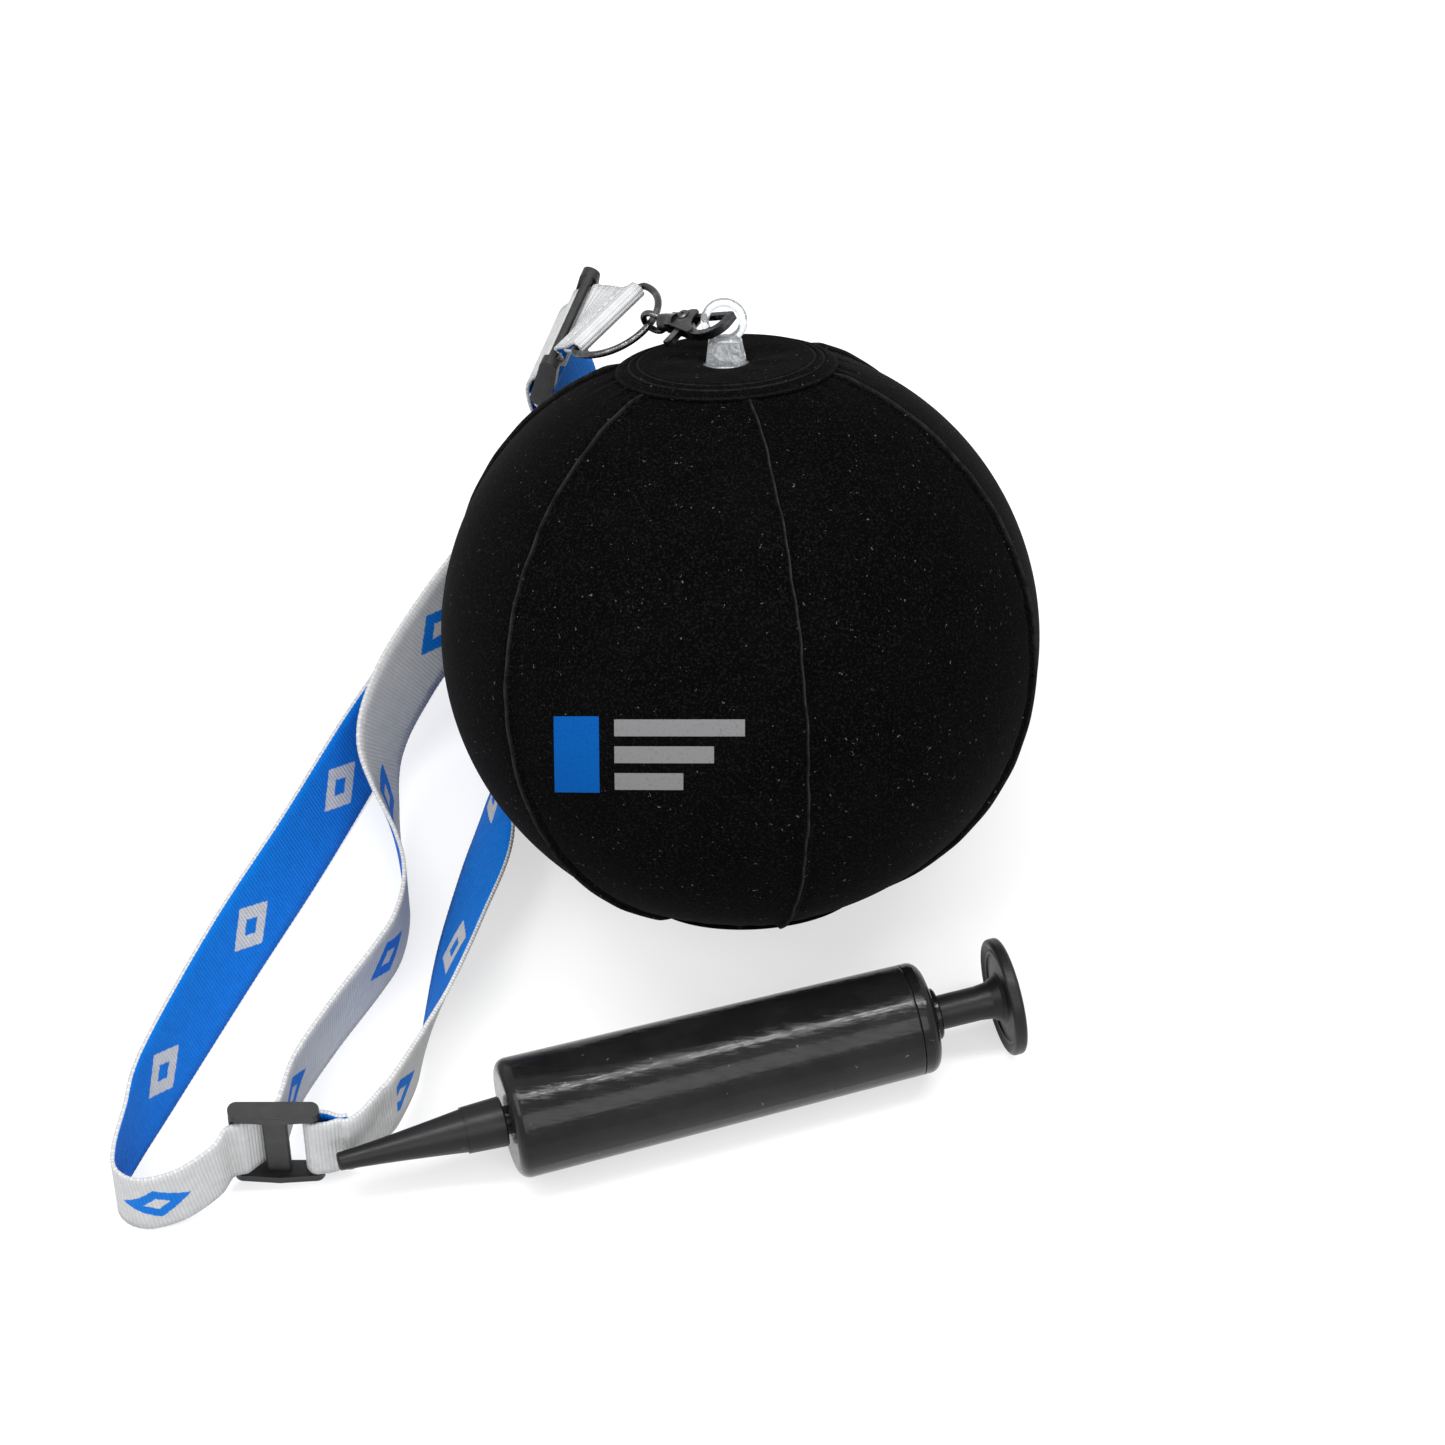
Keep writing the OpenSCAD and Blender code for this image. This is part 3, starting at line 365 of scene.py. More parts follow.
# ---- Ball: seam welds ----
# Two neighbouring panels are heat-welded flange to flange and trimmed close, so that each weld stands up as
# a thin wavy lip. Its crest is painted greyer than the pile, in blotches: a painted highlight along the lip.
weld_flock, tree, shader, ground = flock("weld_flock")
crest = put(tree, "Attribute", {}, attribute_name="crest").outputs["Fac"]
blotches = put(tree, "TexNoise", {"Vector": object_place(tree), "Scale": 300.0, "Detail": 3.0})
# Painted highlight: where the crest weight is high, the base colour turns a lighter grey in blotches,
# standing in for the light that the lip's crest catches.
crest_highlight = maths(tree, "MULTIPLY", crest, from_to(tree, blotches.outputs["Fac"], 0.3, 0.6, 0.35, 1))
crest_highlight_grey = (0.026, 0.026, 0.027, 1)
tree.links.new(colour_between(tree, crest_highlight, ground, crest_highlight_grey), shader.inputs["Base Color"])


def swept_tube(bm, rows, section):
    """A closed tube: each row is a place with its across and up directions, the section is in those."""
    crest_layer = bm.verts.layers.float.get("crest") or bm.verts.layers.float.new("crest")
    around = len(section)
    made = bmesh.ops.create_grid(bm, x_segments=around, y_segments=len(rows) - 1, size=1)["verts"]
    for vert in made:
        row = rows[round((vert.co.y + 1) / 2 * (len(rows) - 1))]
        across, up = section[round((vert.co.x + 1) / 2 * around) % around]
        vert.co = row[0] + across * row[1] + up * row[2]
        # The crest weight is highest at the lip's top, where the weld flock paints its highlight.
        vert[crest_layer] = min(1, max(0, (up - 0.9) * 1.6))
    bmesh.ops.remove_doubles(bm, verts=made, dist=0.0001)
    edges = {edge for vert in made if vert.is_valid for edge in vert.link_edges if edge.is_boundary}
    bmesh.ops.holes_fill(bm, edges=list(edges), sides=around)


bm = bmesh.new()
weld_end = math.acos((patch_r - 1.5) / middle_r)
lip = [(-2.3, -0.9), (-1.9, -0.25), (-1.0, 0.02), (-0.4, 0.25), (-0.22, 1.15), (0.0, 1.42), (0.24, 1.15),
       (0.4, 0.25), (1.0, 0.02), (1.9, -0.25), (2.3, -0.9)]
steps = 150
for seam in range(panels):
    rows = []
    for k in range(steps + 1):
        rise = weld_end * (2 * k / steps - 1)
        azimuth = seam_start + 2 * half_panel * seam
        strength, shift, drift = waves[2 * seam]
        along = rise * seam_arc
        wander = 0.16 * math.sin(along / 4.2 + shift) + 0.1 * math.sin(along / 1.7 + drift)
        out = Vector((math.cos(rise) * math.cos(azimuth), math.cos(rise) * math.sin(azimuth),
                      math.sin(rise)))
        across = Vector((-math.sin(azimuth), math.cos(azimuth), 0))
        fade = min(1, (1 - abs(2 * k / steps - 1)) * 14 + 0.35)
        lift = 0.06 * math.sin(along / 2.3 + shift)
        rows.append((sheet_point(rise, half_panel, azimuth, lift) + across * wander, across, out * fade))
    swept_tube(bm, rows, lip)
bmesh.ops.recalc_face_normals(bm, faces=bm.faces)
bmesh.ops.transform(bm, matrix=ball_place, verts=bm.verts)
rest_on_table(bm)
new_piece("ball_seam_welds", bm, [weld_flock], "ball", ["seam_welds"])


# ---- Ball: end patches ----
# A round flocked patch closes each end over the panels' tips. It is welded on in two rings, and its middle
# sinks round the loop's foot or the valve.
def cap_height(r):
    reach = math.hypot(r + panel_back * math.cos(half_panel), panel_back * math.sin(half_panel))
    return ball_half_h * math.sqrt(1 - ((reach - panel_back) / middle_r) ** 2)


patch_t, patch_dish, patch_gap = 0.85, 1.0, 0.15
loop_slot_r, valve_slot_r = 6.3, 5.1


def patch_under(r):
    if r > patch_hole_r:
        return cap_height(r) + patch_gap
    sunk = 1 - math.cos(math.pi / 2 * (1 - r / patch_hole_r))
    return cap_height(patch_hole_r) + patch_gap - patch_dish * sunk


def groove(r, at, width, depth):
    return -depth * math.exp(-(((r - at) / width) ** 2))


def patch(name, hole, mirrored, nodes):
    bm = bmesh.new()
    outline = []
    for k in range(13):
        r = hole + (patch_r - 0.3 - hole) * k / 12
        outline.append(Vector((r, 0, patch_under(r) - 0.05)))
    for angle in (-50, -10, 30, 65):
        turn = math.radians(angle)
        r = patch_r - 0.7 + 0.7 * math.cos(turn)
        outline.append(Vector((r, 0, patch_under(patch_r) + patch_t / 2 + patch_t / 2 * math.sin(turn))))
    top_steps = 110
    for k in range(top_steps + 1):
        r = patch_r - 1 - (patch_r - 1 - hole) * k / top_steps
        dents = groove(r, 26.8, 0.35, 0.4) + groove(r, 24.4, 0.35, 0.45) + groove(r, 25.6, 0.9, -0.14)
        outline.append(Vector((r, 0, patch_under(r) + patch_t + dents + groove(r, hole, 1.2, 0.3))))
    verts = [bm.verts.new(point) for point in outline]
    edges = [bm.edges.new((verts[k], verts[(k + 1) % len(verts)])) for k in range(len(verts))]
    bmesh.ops.spin(bm, geom=verts + edges, cent=(0, 0, 0), axis=(0, 0, 1), angle=math.tau, steps=120,
                   use_merge=True)
    bmesh.ops.remove_doubles(bm, verts=bm.verts, dist=0.001)
    crest_layer = bm.verts.layers.float.new("crest")
    for vert in bm.verts:
        r, turn = math.hypot(vert.co.x, vert.co.y), math.atan2(vert.co.y, vert.co.x)
        # Painted highlight: thin lighter lines along the rim and beside the two weld grooves, drawn with the
        # weld flock's crest colour.
        vert[crest_layer] = 0.4 * sum(math.exp(-(((r - line) / 0.22) ** 2)) for line in (29.4, 26.2, 23.8))
        creased = math.exp(-(((r - 14) / 6) ** 2))
        vert.co.z += 0.12 * creased * (math.sin(5 * turn + r / 5) + 0.6 * math.sin(9 * turn - r / 4))
    if mirrored:
        bmesh.ops.scale(bm, vec=(1, 1, -1), verts=bm.verts)
    bmesh.ops.recalc_face_normals(bm, faces=bm.faces)
    bmesh.ops.transform(bm, matrix=ball_place, verts=bm.verts)
    new_piece(name, bm, [weld_flock], "ball", nodes)


patch("ball_top_patch", loop_slot_r, False, ["top_patch"])
patch("ball_bottom_patch", valve_slot_r, True, ["bottom_patch"])

# ---- Ball: air valve and plug ----
# Soft black vinyl mouldings, welded into the lower patch: the pump's nozzle goes in when the plug is out.
# They show only from below, so their solids keep their shape and get the material.
valve_vinyl, tree, shader = new_material(
    "valve_vinyl", Base_Color=(0.012, 0.012, 0.013, 1), Specular_IOR_Level=0.4)
soft_noise = put(tree, "TexNoise", {"Vector": object_place(tree), "Scale": 700.0, "Detail": 3.0})
tree.links.new(from_to(tree, soft_noise.outputs["Fac"], 0.3, 0.7, 0.42, 0.6), shader.inputs["Roughness"])
bump_onto(tree, shader, soft_noise.outputs["Fac"], 0.0001)


def finish_node(name, material):
    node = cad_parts[name]
    node.data.materials.clear()
    node.data.materials.append(material)


finish_node("air_valve", valve_vinyl)
finish_node("valve_plug", valve_vinyl)

# ---- Ball: clear hanging loop ----
# A soft clear vinyl moulding, an eye with a thick rounded rim on a short foot. The foot stands on a round
# flange that is welded under the patch.
clear_vinyl, tree, shader = new_material(
    "clear_vinyl", Base_Color=(0.8, 0.83, 0.86, 1), Roughness=0.06, Transmission_Weight=0.85, IOR=1.5)
crinkle = put(tree, "TexNoise", {"Vector": object_place(tree), "Scale": 330.0, "Detail": 3.0,
                                 "Distortion": 0.6})
bump_onto(tree, shader, crinkle.outputs["Fac"], 0.0006, 0.6)
loop_h, loop_hole_r, loop_rim, loop_t = 88.0, 4.0, 2.3, 3.2
rim_sides, flat = 20, 0.82
bm = bmesh.new()
rim_verts = []
for k in range(rim_sides):
    turn = math.tau * k / rim_sides
    across = math.copysign(abs(math.cos(turn)) ** flat, math.cos(turn)) * loop_rim / 2
    up = math.copysign(abs(math.sin(turn)) ** flat, math.sin(turn)) * loop_t / 2
    rim_verts.append(bm.verts.new((loop_hole_r + loop_rim / 2 + across, up, loop_h)))
rim_edges = [bm.edges.new((rim_verts[k], rim_verts[(k + 1) % rim_sides])) for k in range(rim_sides)]
bmesh.ops.spin(bm, geom=rim_verts + rim_edges, cent=(0, 0, loop_h), axis=(0, 1, 0), angle=math.tau, steps=64,
               use_merge=True)
slot_edge = patch_under(6.2)
foot_low, foot_high, foot_size = slot_edge - 0.9, loop_h - loop_hole_r - 0.9, (11.4, 6.6)
flange_r, flange_t = 12.6, 1.2
foot = bmesh.ops.create_cube(bm, size=1)["verts"]
bmesh.ops.scale(bm, vec=(*foot_size, foot_high - foot_low), verts=foot)
bmesh.ops.translate(bm, vec=(0, 0, (foot_high + foot_low) / 2), verts=foot)
for vert in foot:
    if vert.co.z > (foot_high + foot_low) / 2:
        vert.co.x *= 0.78
        vert.co.y *= 0.62
foot_edges = list({edge for vert in foot for edge in vert.link_edges})
bmesh.ops.bevel(bm, geom=foot_edges, affect="EDGES", offset=0.9, segments=4, profile=0.5, material=-1)
flange = bmesh.ops.create_cone(bm, cap_ends=True, segments=64, radius1=flange_r, radius2=flange_r,
                               depth=flange_t)["verts"]
bmesh.ops.translate(bm, vec=(0, 0, slot_edge - 0.95), verts=flange)
bmesh.ops.recalc_face_normals(bm, faces=bm.faces)
bmesh.ops.transform(bm, matrix=ball_place, verts=bm.verts)
loop = new_piece("hanging_eye", bm, [clear_vinyl], "ball", ["hanging_loop"])
modify(loop, "REMESH", mode="VOXEL", voxel_size=0.3 * mm, use_smooth_shade=True)
modify(loop, "SMOOTH", factor=0.5, iterations=6)

# ---- Metal: hook, gate, rivet, spring, swivel eye and ring ----
# Zinc castings for the hook, its gate and the eye, steel wire for the ring and the spring. All are plated a
# dark gunmetal, which is rubbed brighter in places.
gunmetal, tree, shader = new_material("gunmetal", Metallic=1.0)
place = object_place(tree)
blotches = put(tree, "TexNoise", {"Vector": place, "Scale": 260.0, "Detail": 5.0, "Roughness": 0.7})
bright = from_to(tree, blotches.outputs["Fac"], 0.45, 0.72, 0, 1)
plated, worn_bright = (0.055, 0.055, 0.057, 1), (0.15, 0.15, 0.154, 1)
tree.links.new(colour_between(tree, bright, plated, worn_bright), shader.inputs["Base Color"])
tree.links.new(from_to(tree, blotches.outputs["Fac"], 0.3, 0.7, 0.36, 0.2), shader.inputs["Roughness"])
cast = put(tree, "TexNoise", {"Vector": place, "Scale": 1800.0, "Detail": 2.0})
bump_onto(tree, shader, cast.outputs["Fac"], 0.00008)
for name in ("hook_body", "hook_gate", "hook_rivet", "gate_spring", "swivel_eye", "wire_ring"):
    finish_node(name, gunmetal)

# ---- Webbing ----
# One 25 mm woven polyester strap, blue on one side and light grey on the other, with small lozenges in the
# other side's colour. It is folded and sewn on the ring and, at its other end, on the lower slider.
# The route lists points along its middle, each with the direction of its width, from end to end.
table_middle = Vector((-0.6, 1.9, 0))
web_w, web_t = 25, 1.2


def turned(angles):
    return Euler([math.radians(angle) for angle in angles]).to_matrix()


ring_at = Vector((6.948, 88.686, 132.624))
ring_turn = turned((7, -26, -45))
tab_turn = ring_turn @ turned((0, -20, 0))
top_turn = turned((62, 75.5, 132))
top_at = ring_at - top_turn @ Vector((-26, -10, -4))
lower_at = Vector((-81.6, -101.3, 16.5))
lay, bar_side, turn_bar_x, tab_l = 0.63, 2.2, 8.15, 8


def on_tab(x, z):
    return ring_at + tab_turn @ Vector((x, 0, z)), ring_turn @ Vector((0, 1, 0))


def on_top(x, y):
    return top_at + top_turn @ Vector((x, y, 0)), top_turn @ Vector((0, 0, 1))


def on_lower(x, y, drop=0.0):
    return lower_at + Vector((x, y, -drop)), Vector((0, 0, -1))


def free(*numbers):
    return Vector(numbers[:3]), Vector(numbers[3:])


fold_r = 1.85
route = [on_tab(-tab_l, -lay), on_tab(-7, -lay), on_tab(-4, -lay - 0.4)]
route += [on_tab(fold_r * math.cos(math.radians(a)), fold_r * math.sin(math.radians(a)))
          for a in range(-110, 111, 20)]
route += [on_tab(-4, lay + 0.4), on_tab(-7, lay), on_tab(-tab_l - 1, lay), on_tab(-tab_l - 2.5, lay)]
route += [free(0.4, 96.5, 122.6, 0.5, 0.86, 0.0), on_top(-11, -bar_side - 0.4), on_top(-9, -bar_side),
          on_top(-6.2, 0), on_top(-3.8, bar_side - 0.1), on_top(0, bar_side + 0.1), on_top(4, bar_side + 0.5),
          on_top(8.5, bar_side + 1.9), on_top(14, bar_side + 2.0)]
# Down the back of the ball, along the table to the front bend, and back to the lower slider.
route += [free(-10.6, 107.5, 85, 0.36, 0.93, 0), free(-9, 109, 74, 0.36, 0.93, -0.2),
          free(-12.5, 105, 58, 0.3, 0.77, -0.57), free(-21, 95.5, 41, 0.3, 0.63, -0.7),
          free(-32, 81, 27, 0.33, 0.43, -0.84),
          free(-47, 61, 17, 0.35, 0.17, -0.92), free(-62, 34, 12.5, 0.42, -0.05, -0.9),
          free(-79, -2, 11.9, 0.4, -0.18, -0.9), free(-97, -38, 11.9, 0.4, -0.18, -0.9),
          free(-115, -78, 12.2, 0.3, -0.12, -0.95), free(-121, -96, 12.6, 0.1, -0.05, -1),
          free(-124.4, -108, 12.6, 0, 0, -1), free(-123.4, -115, 12.6, 0, 0, -1),
          free(-117, -118.4, 13, 0, 0, -1), free(-107, -116.4, 14.2, 0, 0, -1)]
route += [on_lower(-16.4, -9, 0.8), on_lower(-12.8, -3.6, 0.2), on_lower(-10, -bar_side - 0.1),
          on_lower(-8.5, -1.9), on_lower(-6.35, 0), on_lower(-4.2, 1.8), on_lower(-1.6, 2.7),
          on_lower(0.4, 4.6), on_lower(1.4, 8, 0.4)]
# From the lower slider up again behind the ball, and round the upper slider's far bar.
route += [free(-77, -80, 14.4, 0, 0, -1), free(-68, -62, 12.8, 0, 0, -1), free(-57, -44, 12.6, 0, 0, -1),
          free(-51.5, -33, 12.6, 0, 0, -1), free(-49.5, -20, 12.6, 0, 0, -1),
          free(-51.5, -7, 13.4, 0.05, 0, -1),
          free(-56, 10, 17, 0.25, 0.15, -0.95), free(-57.5, 25, 24, 0.45, 0.28, -0.85),
          free(-51, 40, 32, 0.62, 0.3, -0.72), free(-39, 57, 40, 0.66, 0.25, -0.7),
          free(-26, 74, 49, 0.6, 0.35, -0.7), free(-16, 89, 57, 0.5, 0.58, -0.63),
          free(-8, 100, 66, 0.38, 0.82, -0.42), free(-5.2, 105, 77, 0.34, 0.93, -0.1)]
route += [on_top(17.5, bar_side), on_top(14.5, bar_side), on_top(9.6, bar_side),
          on_top(turn_bar_x + 0.4, bar_side - 0.5), on_top(turn_bar_x, 0.9), on_top(turn_bar_x, -0.9),
          on_top(turn_bar_x + 0.4, 0.5 - bar_side), on_top(9.4, -bar_side), on_top(12.5, -bar_side),
          on_top(14.5, -bar_side), on_top(17.5, -bar_side - 0.2)]
# Down behind the ball with half a twist, then forward to the fold on the lower slider.
route += [free(-2.4, 104, 78, 0.36, 0.85, -0.38), free(-1.4, 103, 62, 0.36, 0.85, -0.35),
          free(-5.5, 94, 46, 0.5, 0.65, -0.55), free(-12, 79, 30.5, 0.8, 0.15, -0.58),
          free(-15.8, 69.5, 23, 0.98, -0.17, 0), free(-19, 59, 17.6, 0.68, -0.42, 0.6),
          free(-22.5, 37, 13.2, 0.15, 0.05, 0.97),
          free(-25, 17, 12.2, 0.3, 0, 0.95), free(-27.5, -6, 11.4, 0.58, -0.1, 0.8),
          free(-34, -31, 11.8, 0.52, -0.1, 0.85), free(-40, -57, 13, 0.3, -0.1, 0.95),
          free(-44, -73, 14.8, 0.1, 0, 1)]
bar_x, fold_out, fold_turn = 10.65, 2.1, 2.5
fold = [(31.6, 13.7), (28, 8.6), (25, 4.3), (22.8, 1.6), (bar_x + 9, -lay - 0.1), (bar_x + 7, -lay),
        (bar_x + 6, -lay - 0.2), (bar_x + 3.6, 0.4 - fold_out), (bar_x + 1, -fold_out),
        (bar_x - fold_turn + 1.4, -fold_out), (bar_x - fold_turn, 1.4 - fold_out),
        (bar_x - fold_turn, fold_out - 1.4), (bar_x - fold_turn + 1.4, fold_out), (bar_x + 1, fold_out),
        (bar_x + 3.6, fold_out - 0.4), (bar_x + 6, lay + 0.2), (bar_x + 7, lay), (bar_x + 9, lay + 0.3)]
route += [(lower_at + Vector((x, y, 0)), Vector((0, 0, 1))) for x, y in fold]


def smooth_route(route, steps):
    """The route's points and width directions on one smooth curve through all of them."""
    line = []
    for i in range(len(route) - 1):
        near = [route[max(i - 1, 0)], route[i], route[i + 1], route[min(i + 2, len(route) - 1)]]
        for k in range(steps):
            t = k / steps
            shares = (-0.5 * t + t * t - 0.5 * t**3, 1 - 2.5 * t * t + 1.5 * t**3,
                      0.5 * t + 2 * t * t - 1.5 * t**3, -0.5 * t * t + 0.5 * t**3)
            line.append([sum((s * n[part] for s, n in zip(shares, near)), Vector()) for part in (0, 1)])
    line.append(list(route[-1]))
    return line


def evenly(line, spacing):
    """The same curve again with points a fixed distance apart; returns them with the whole length."""
    gone, total = [0.0], 0.0
    for a, b in zip(line, line[1:]):
        total += (b[0] - a[0]).length
        gone.append(total)
    count = round(total / spacing)
    out, k = [], 0
    for i in range(count + 1):
        want = total * i / count
        while k < len(gone) - 2 and gone[k + 1] < want:
            k += 1
        t = (want - gone[k]) / max(gone[k + 1] - gone[k], 1e-9)
        out.append([line[k][part].lerp(line[k + 1][part], t) for part in (0, 1)])
    return out, total


scallop, scallop_depth, across_steps = 1.6, 0.16, 8
web_line, web_length = evenly(smooth_route(route, 12), scallop / 2)
last = len(web_line) - 1
bm = bmesh.new()
made = bmesh.ops.create_grid(bm, x_segments=across_steps, y_segments=last, size=1)["verts"]
uv = bm.loops.layers.uv.new("cloth")
for face in bm.faces:
    for corner in face.loops:
        u, v = (corner.vert.co.x + 1) / 2, (corner.vert.co.y + 1) / 2
        corner[uv].uv = (u * web_w * mm, v * web_length * mm)
for vert in made:
    i = round((vert.co.y + 1) / 2 * last)
    u = vert.co.x
    place, wide = web_line[i]
    ahead = (web_line[min(i + 1, last)][0] - web_line[max(i - 1, 0)][0]).normalized()
    wide = (wide - wide.dot(ahead) * ahead).normalized()
    half = web_w / 2 - (scallop_depth if i % 2 else 0) * abs(u) ** 8
    vert.co = place - table_middle + u * half * wide

weave, takes, gives = new_group(
    "woven_ribs", {"Cloth": None, "Rib": 1.0, "Warp": 0.6}, ["Height", "Weave_Shading"])
parts = put(weave, "SeparateXYZ", (takes["Cloth"],)).outputs
rib_at = maths(weave, "DIVIDE", maths(weave, "MULTIPLY", parts["Y"], 1000.0), takes["Rib"])
warp_at = maths(weave, "DIVIDE", maths(weave, "MULTIPLY", parts["X"], 1000.0), takes["Warp"])
shifted = maths(weave, "ADD", warp_at, maths(weave, "MULTIPLY", maths(weave, "FLOOR", rib_at), 0.5))
rib_wave = maths(weave, "ABSOLUTE", maths(weave, "SINE", maths(weave, "MULTIPLY", rib_at, math.pi)))
warp_wave = maths(weave, "ABSOLUTE", maths(weave, "SINE", maths(weave, "MULTIPLY", shifted, math.pi)))
weave.links.new(maths(weave, "MULTIPLY", rib_wave, maths(weave, "ADD", warp_wave, 0.5)), gives["Height"])
# Painted shading: this output is low in the dips between the threads and high on their tops. It darkens the
# weave's dips and lightens its tops.
weave.links.new(maths(weave, "MULTIPLY", rib_wave, warp_wave), gives["Weave_Shading"])

figure, takes, gives = new_group("lozenges", {"Cloth": None, "Pitch": 52.0}, ["Mask"])
parts = put(figure, "SeparateXYZ", (takes["Cloth"],)).outputs
row_at = maths(figure, "SNAP", maths(figure, "MULTIPLY", parts["Y"], 1000.0), 0.5)
column_at = maths(figure, "SNAP", maths(figure, "MULTIPLY", parts["X"], 1000.0), 0.3)
aside = maths(figure, "ABSOLUTE", maths(figure, "SUBTRACT", column_at, web_w / 2))


def from_repeat(shift):
    """Distance along the strap from the nearest repeat of the pattern, in millimetres."""
    at_pitch = maths(figure, "DIVIDE", row_at, takes["Pitch"])
    repeats = maths(figure, "FRACT", maths(figure, "ADD", at_pitch, shift))
    return maths(figure, "MULTIPLY", maths(figure, "ABSOLUTE", maths(figure, "SUBTRACT", repeats, 0.5)),
                 takes["Pitch"])


pattern_shift, pattern_pitch = 0.27, 52.0


def lozenge(half_length, half_width):
    spread = maths(figure, "ADD", maths(figure, "DIVIDE", from_repeat(pattern_shift), half_length),
                   maths(figure, "DIVIDE", aside, half_width))
    return maths(figure, "LESS_THAN", spread, 1.0)


frame_shape = maths(figure, "SUBTRACT", lozenge(9.5, 7), lozenge(3.6, 2.65))
plain_tab, plain_end = 78, 45
on_strap = maths(figure, "MULTIPLY", maths(figure, "GREATER_THAN", row_at, plain_tab),
                 maths(figure, "LESS_THAN", row_at, web_length - plain_end))
figure.links.new(maths(figure, "MULTIPLY", frame_shape, on_strap), gives["Mask"])


def webbing_side(name, ground, drawn):
    made, tree, shader = new_material(
        name, Roughness=0.75, Specular_IOR_Level=0.06, Sheen_Weight=0.015, Sheen_Roughness=0.5)
    cloth = put(tree, "UVMap", {}, uv_map="cloth").outputs[0]
    ribs = use_group(tree, weave, {"Cloth": cloth, "Rib": 1.05, "Warp": 0.62})
    shape = use_group(tree, figure, {"Cloth": cloth, "Pitch": pattern_pitch})
    colour = colour_between(tree, shape["Mask"], ground, drawn)
    stain = put(tree, "TexNoise", {"Vector": cloth, "Scale": 300.0, "Detail": 3.0})
    # Painted shade and highlight: the colour is darkened to 0.86 in the weave's dips and lightened to 1.08 on
    # the thread tops.
    shade = from_to(tree, ribs["Weave_Shading"], 0, 1, 0.86, 1.08)
    shade = maths(tree, "MULTIPLY", shade, from_to(tree, stain.outputs["Fac"], 0.3, 0.7, 0.94, 1.04))
    lit = put(tree, "VectorMath", {0: colour, "Scale": shade}, operation="SCALE").outputs[0]
    tree.links.new(lit, shader.inputs["Base Color"])
    bump_onto(tree, shader, ribs["Height"], 0.00022, 0.8)
    return made


web_blue, web_grey = (0.001, 0.142, 0.55, 1), (0.48, 0.483, 0.49, 1)
blue_side = webbing_side("webbing_blue_side", web_blue, web_grey)
grey_side = webbing_side("webbing_grey_side", web_grey, web_blue)
strap = new_piece("neck_webbing", bm, [grey_side, blue_side], "neck_strap",
                  ["strap_tab", "strap_long_side", "strap_return_side", "strap_sewn_side", "sewn_end"])
modify(strap, "SOLIDIFY", thickness=(web_t - 0.05) * mm, offset=0, material_offset=1, use_even_offset=True)

# ---- Stitching ----
# A row of thick polyester thread on each face locks the fold on the ring and the fold on the lower slider.
# The stitches lie across the strap, half sunk in the cloth.
thread, tree, shader = new_material("thread", Base_Color=(0.5, 0.5, 0.51, 1), Roughness=0.6)
twist = put(tree, "TexWave", {"Vector": object_place(tree), "Scale": 900.0}, wave_type="BANDS")
bump_onto(tree, shader, twist.outputs["Fac"], 0.0001)


stitches, stitch_pitch = 9, 2.5


def stitch_row(name, middle, along, out):
    """A row of stitches across the strap, each a bead that lies half sunk in the cloth."""
    bm = bmesh.new()
    along, out = along.normalized(), out.normalized()
    basis = Matrix((along, out.cross(along), out)).transposed().to_4x4()
    for k in range(stitches):
        place = Matrix.Translation(middle + along * stitch_pitch * (k - (stitches - 1) / 2)) @ basis
        bead = bmesh.ops.create_uvsphere(bm, u_segments=10, v_segments=6, radius=1)["verts"]
        bmesh.ops.scale(bm, vec=(stitch_pitch * 0.43, 0.3, 0.24), verts=bead)
        bmesh.ops.transform(bm, matrix=place, verts=bead)
    new_piece(name, bm, [thread], "neck_strap", [])


for side in (-1, 1):
    out = tab_turn @ Vector((0, 0, side))
    across = ring_turn @ Vector((0, 1, 0))
    middle = on_tab(-6.4, side * (lay + web_t / 2 + 0.12))[0] - table_middle
    stitch_row(f"tab_stitches_{(side + 3) // 2}", middle, across, out)
    middle = on_lower(bar_x + 7.4, side * (lay + web_t / 2 + 0.1))[0] - table_middle
    stitch_row(f"end_stitches_{(side + 3) // 2}", middle, Vector((0, 0, 1)), Vector((0, side, 0)))

# ---- Sliders ----
# Black moulded acetal with a fine spark-eroded texture, greyer and shinier in patches from handling. The
# webbing runs over and under their bars.
moulded, tree, shader = new_material("moulded_black", Specular_IOR_Level=0.3)
place = object_place(tree)
texture = put(tree, "TexNoise", {"Vector": place, "Scale": 2400.0, "Detail": 2.0})
patchy = put(tree, "TexNoise", {"Vector": place, "Scale": 180.0, "Detail": 4.0})
acetal_black, handled_black = (0.008, 0.008, 0.0084, 1), (0.018, 0.018, 0.0187, 1)
handled = from_to(tree, patchy.outputs["Fac"], 0.45, 0.75, 0, 1)
tree.links.new(colour_between(tree, handled, acetal_black, handled_black), shader.inputs["Base Color"])
tree.links.new(from_to(tree, patchy.outputs["Fac"], 0.35, 0.7, 0.38, 0.56), shader.inputs["Roughness"])
bump_onto(tree, shader, texture.outputs["Fac"], 0.00012)
for name in ("top_slider", "lower_slider"):
    finish_node(name, moulded)

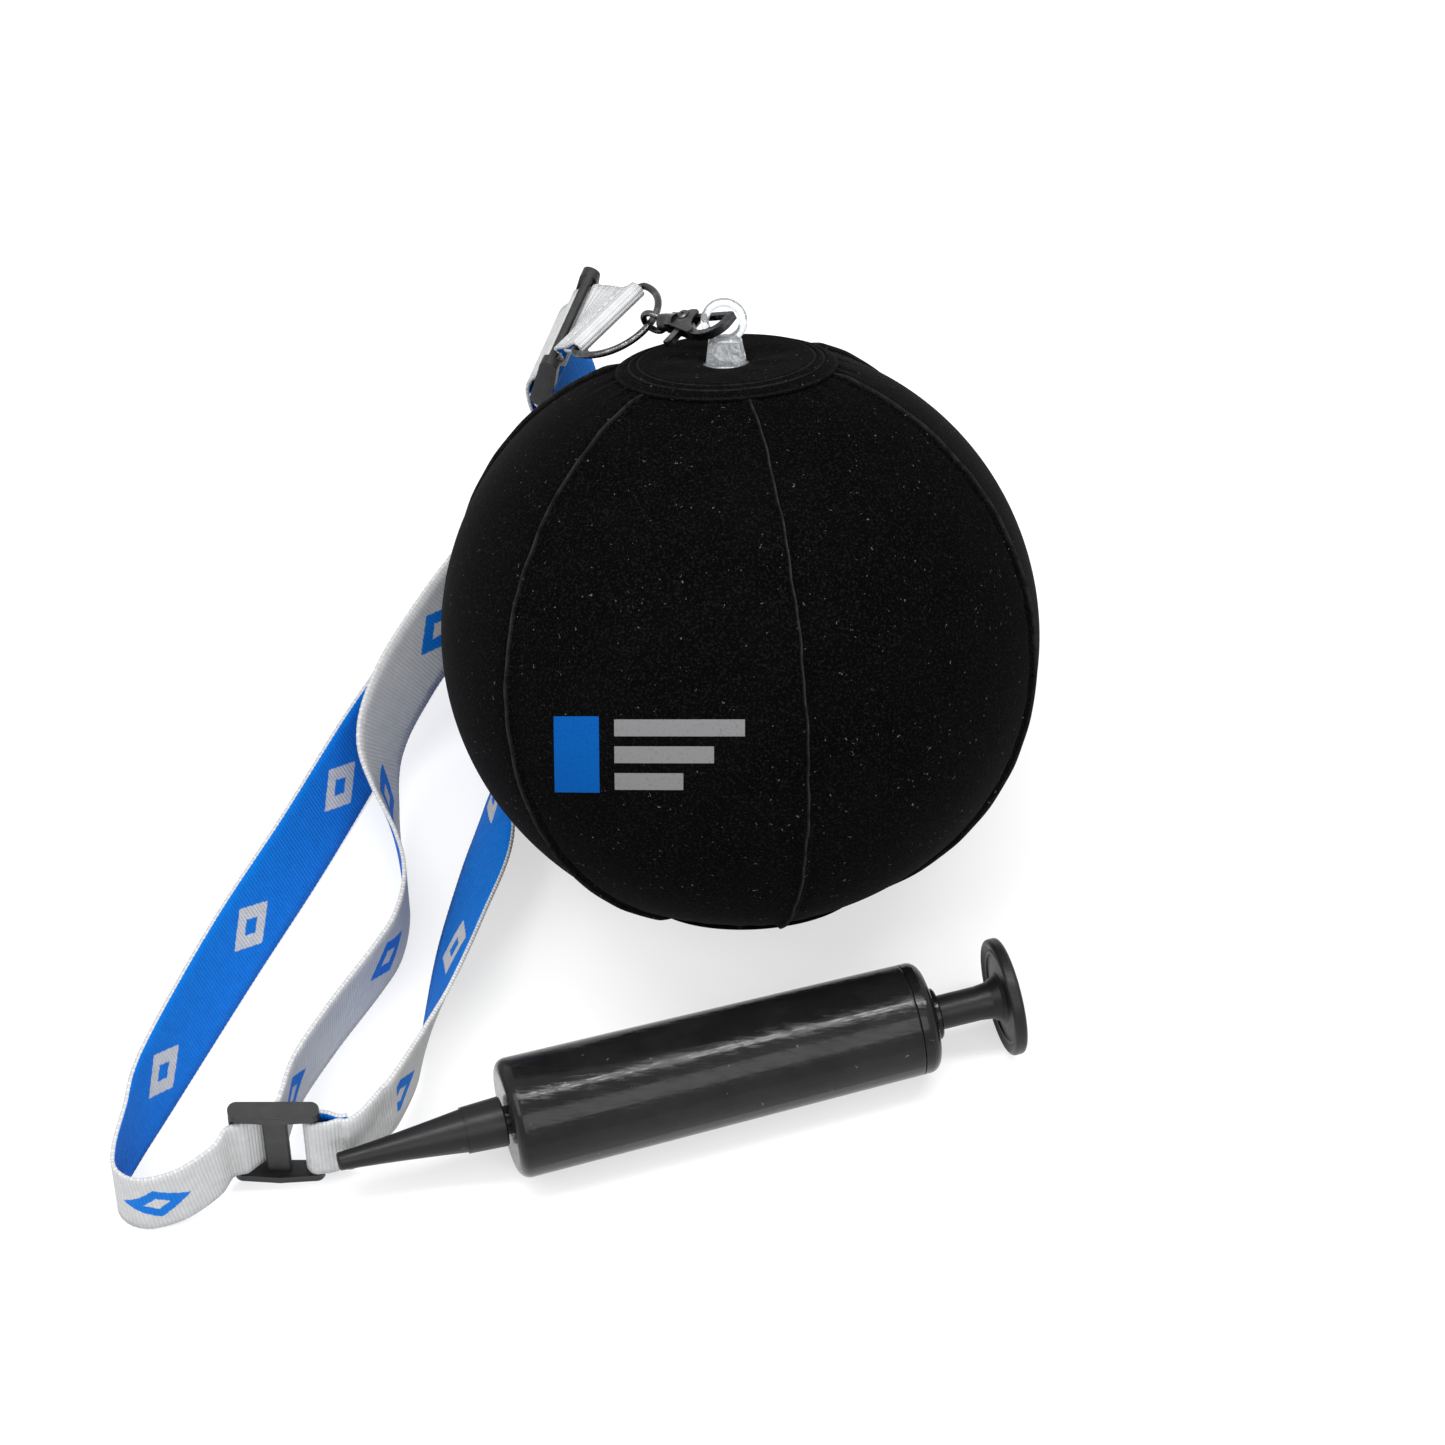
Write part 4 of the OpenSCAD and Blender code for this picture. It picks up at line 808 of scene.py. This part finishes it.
# ---- Hand pump ----
# Barrel and cap are polished black mouldings that pick up dust and fine handling marks; the nozzle,
# rod and push disc are satin.
scratches, takes, gives = new_group("handling_marks", {"Place": None, "Scale": 1.0}, ["Marks"])
stretched = put(scratches, "Mapping", {0: takes["Place"], 3: (1.0, 14.0, 14.0)}, vector_type="POINT")
scratch_scale = maths(scratches, "MULTIPLY", takes["Scale"], 70.0)
fine = put(scratches, "TexNoise", {"Vector": stretched.outputs[0], "Scale": scratch_scale,
                                   "Detail": 6.0, "Roughness": 0.75})
scratches.links.new(from_to(scratches, fine.outputs["Fac"], 0.5, 0.74, 0, 1), gives["Marks"])


dust_grey = (0.2, 0.2, 0.2, 1)


def pump_plastic(name, colour, low, high, dust):
    made, tree, shader = new_material(name, Specular_IOR_Level=0.19)
    place = object_place(tree)
    marks = use_group(tree, scratches, {"Place": place, "Scale": 1.0})
    lint = use_group(tree, specks, {"Place": place, "Size": 0.6, "Share": 0.05})
    soiled = maths(tree, "ADD", maths(tree, "MULTIPLY", lint["Haze"], dust),
                   maths(tree, "MULTIPLY", lint["Specks"], 0.35))
    tree.links.new(colour_between(tree, soiled, colour, dust_grey), shader.inputs["Base Color"])
    tree.links.new(from_to(tree, marks["Marks"], 0, 1, low, high), shader.inputs["Roughness"])
    bump_onto(tree, shader, marks["Marks"], 0.00004, 0.5)
    return made


polished = pump_plastic("polished_black", (0.006, 0.006, 0.0062, 1), 0.1, 0.22, 0.025)
satin = pump_plastic("satin_black", (0.0075, 0.0075, 0.008, 1), 0.36, 0.5, 0.015)
rubber, tree, shader = new_material("greased_rubber", Base_Color=(0.02, 0.02, 0.02, 1), Roughness=0.4)
grease = put(tree, "TexNoise", {"Vector": object_place(tree), "Scale": 500.0, "Detail": 3.0})
bump_onto(tree, shader, grease.outputs["Fac"], 0.0001)
for name in ("pump_barrel", "pump_cap"):
    finish_node(name, polished)
for name in ("pump_nozzle", "plunger_rod", "piston", "push_disc"):
    finish_node(name, satin)
for name in ("piston_seal", "outlet_flap"):
    finish_node(name, rubber)
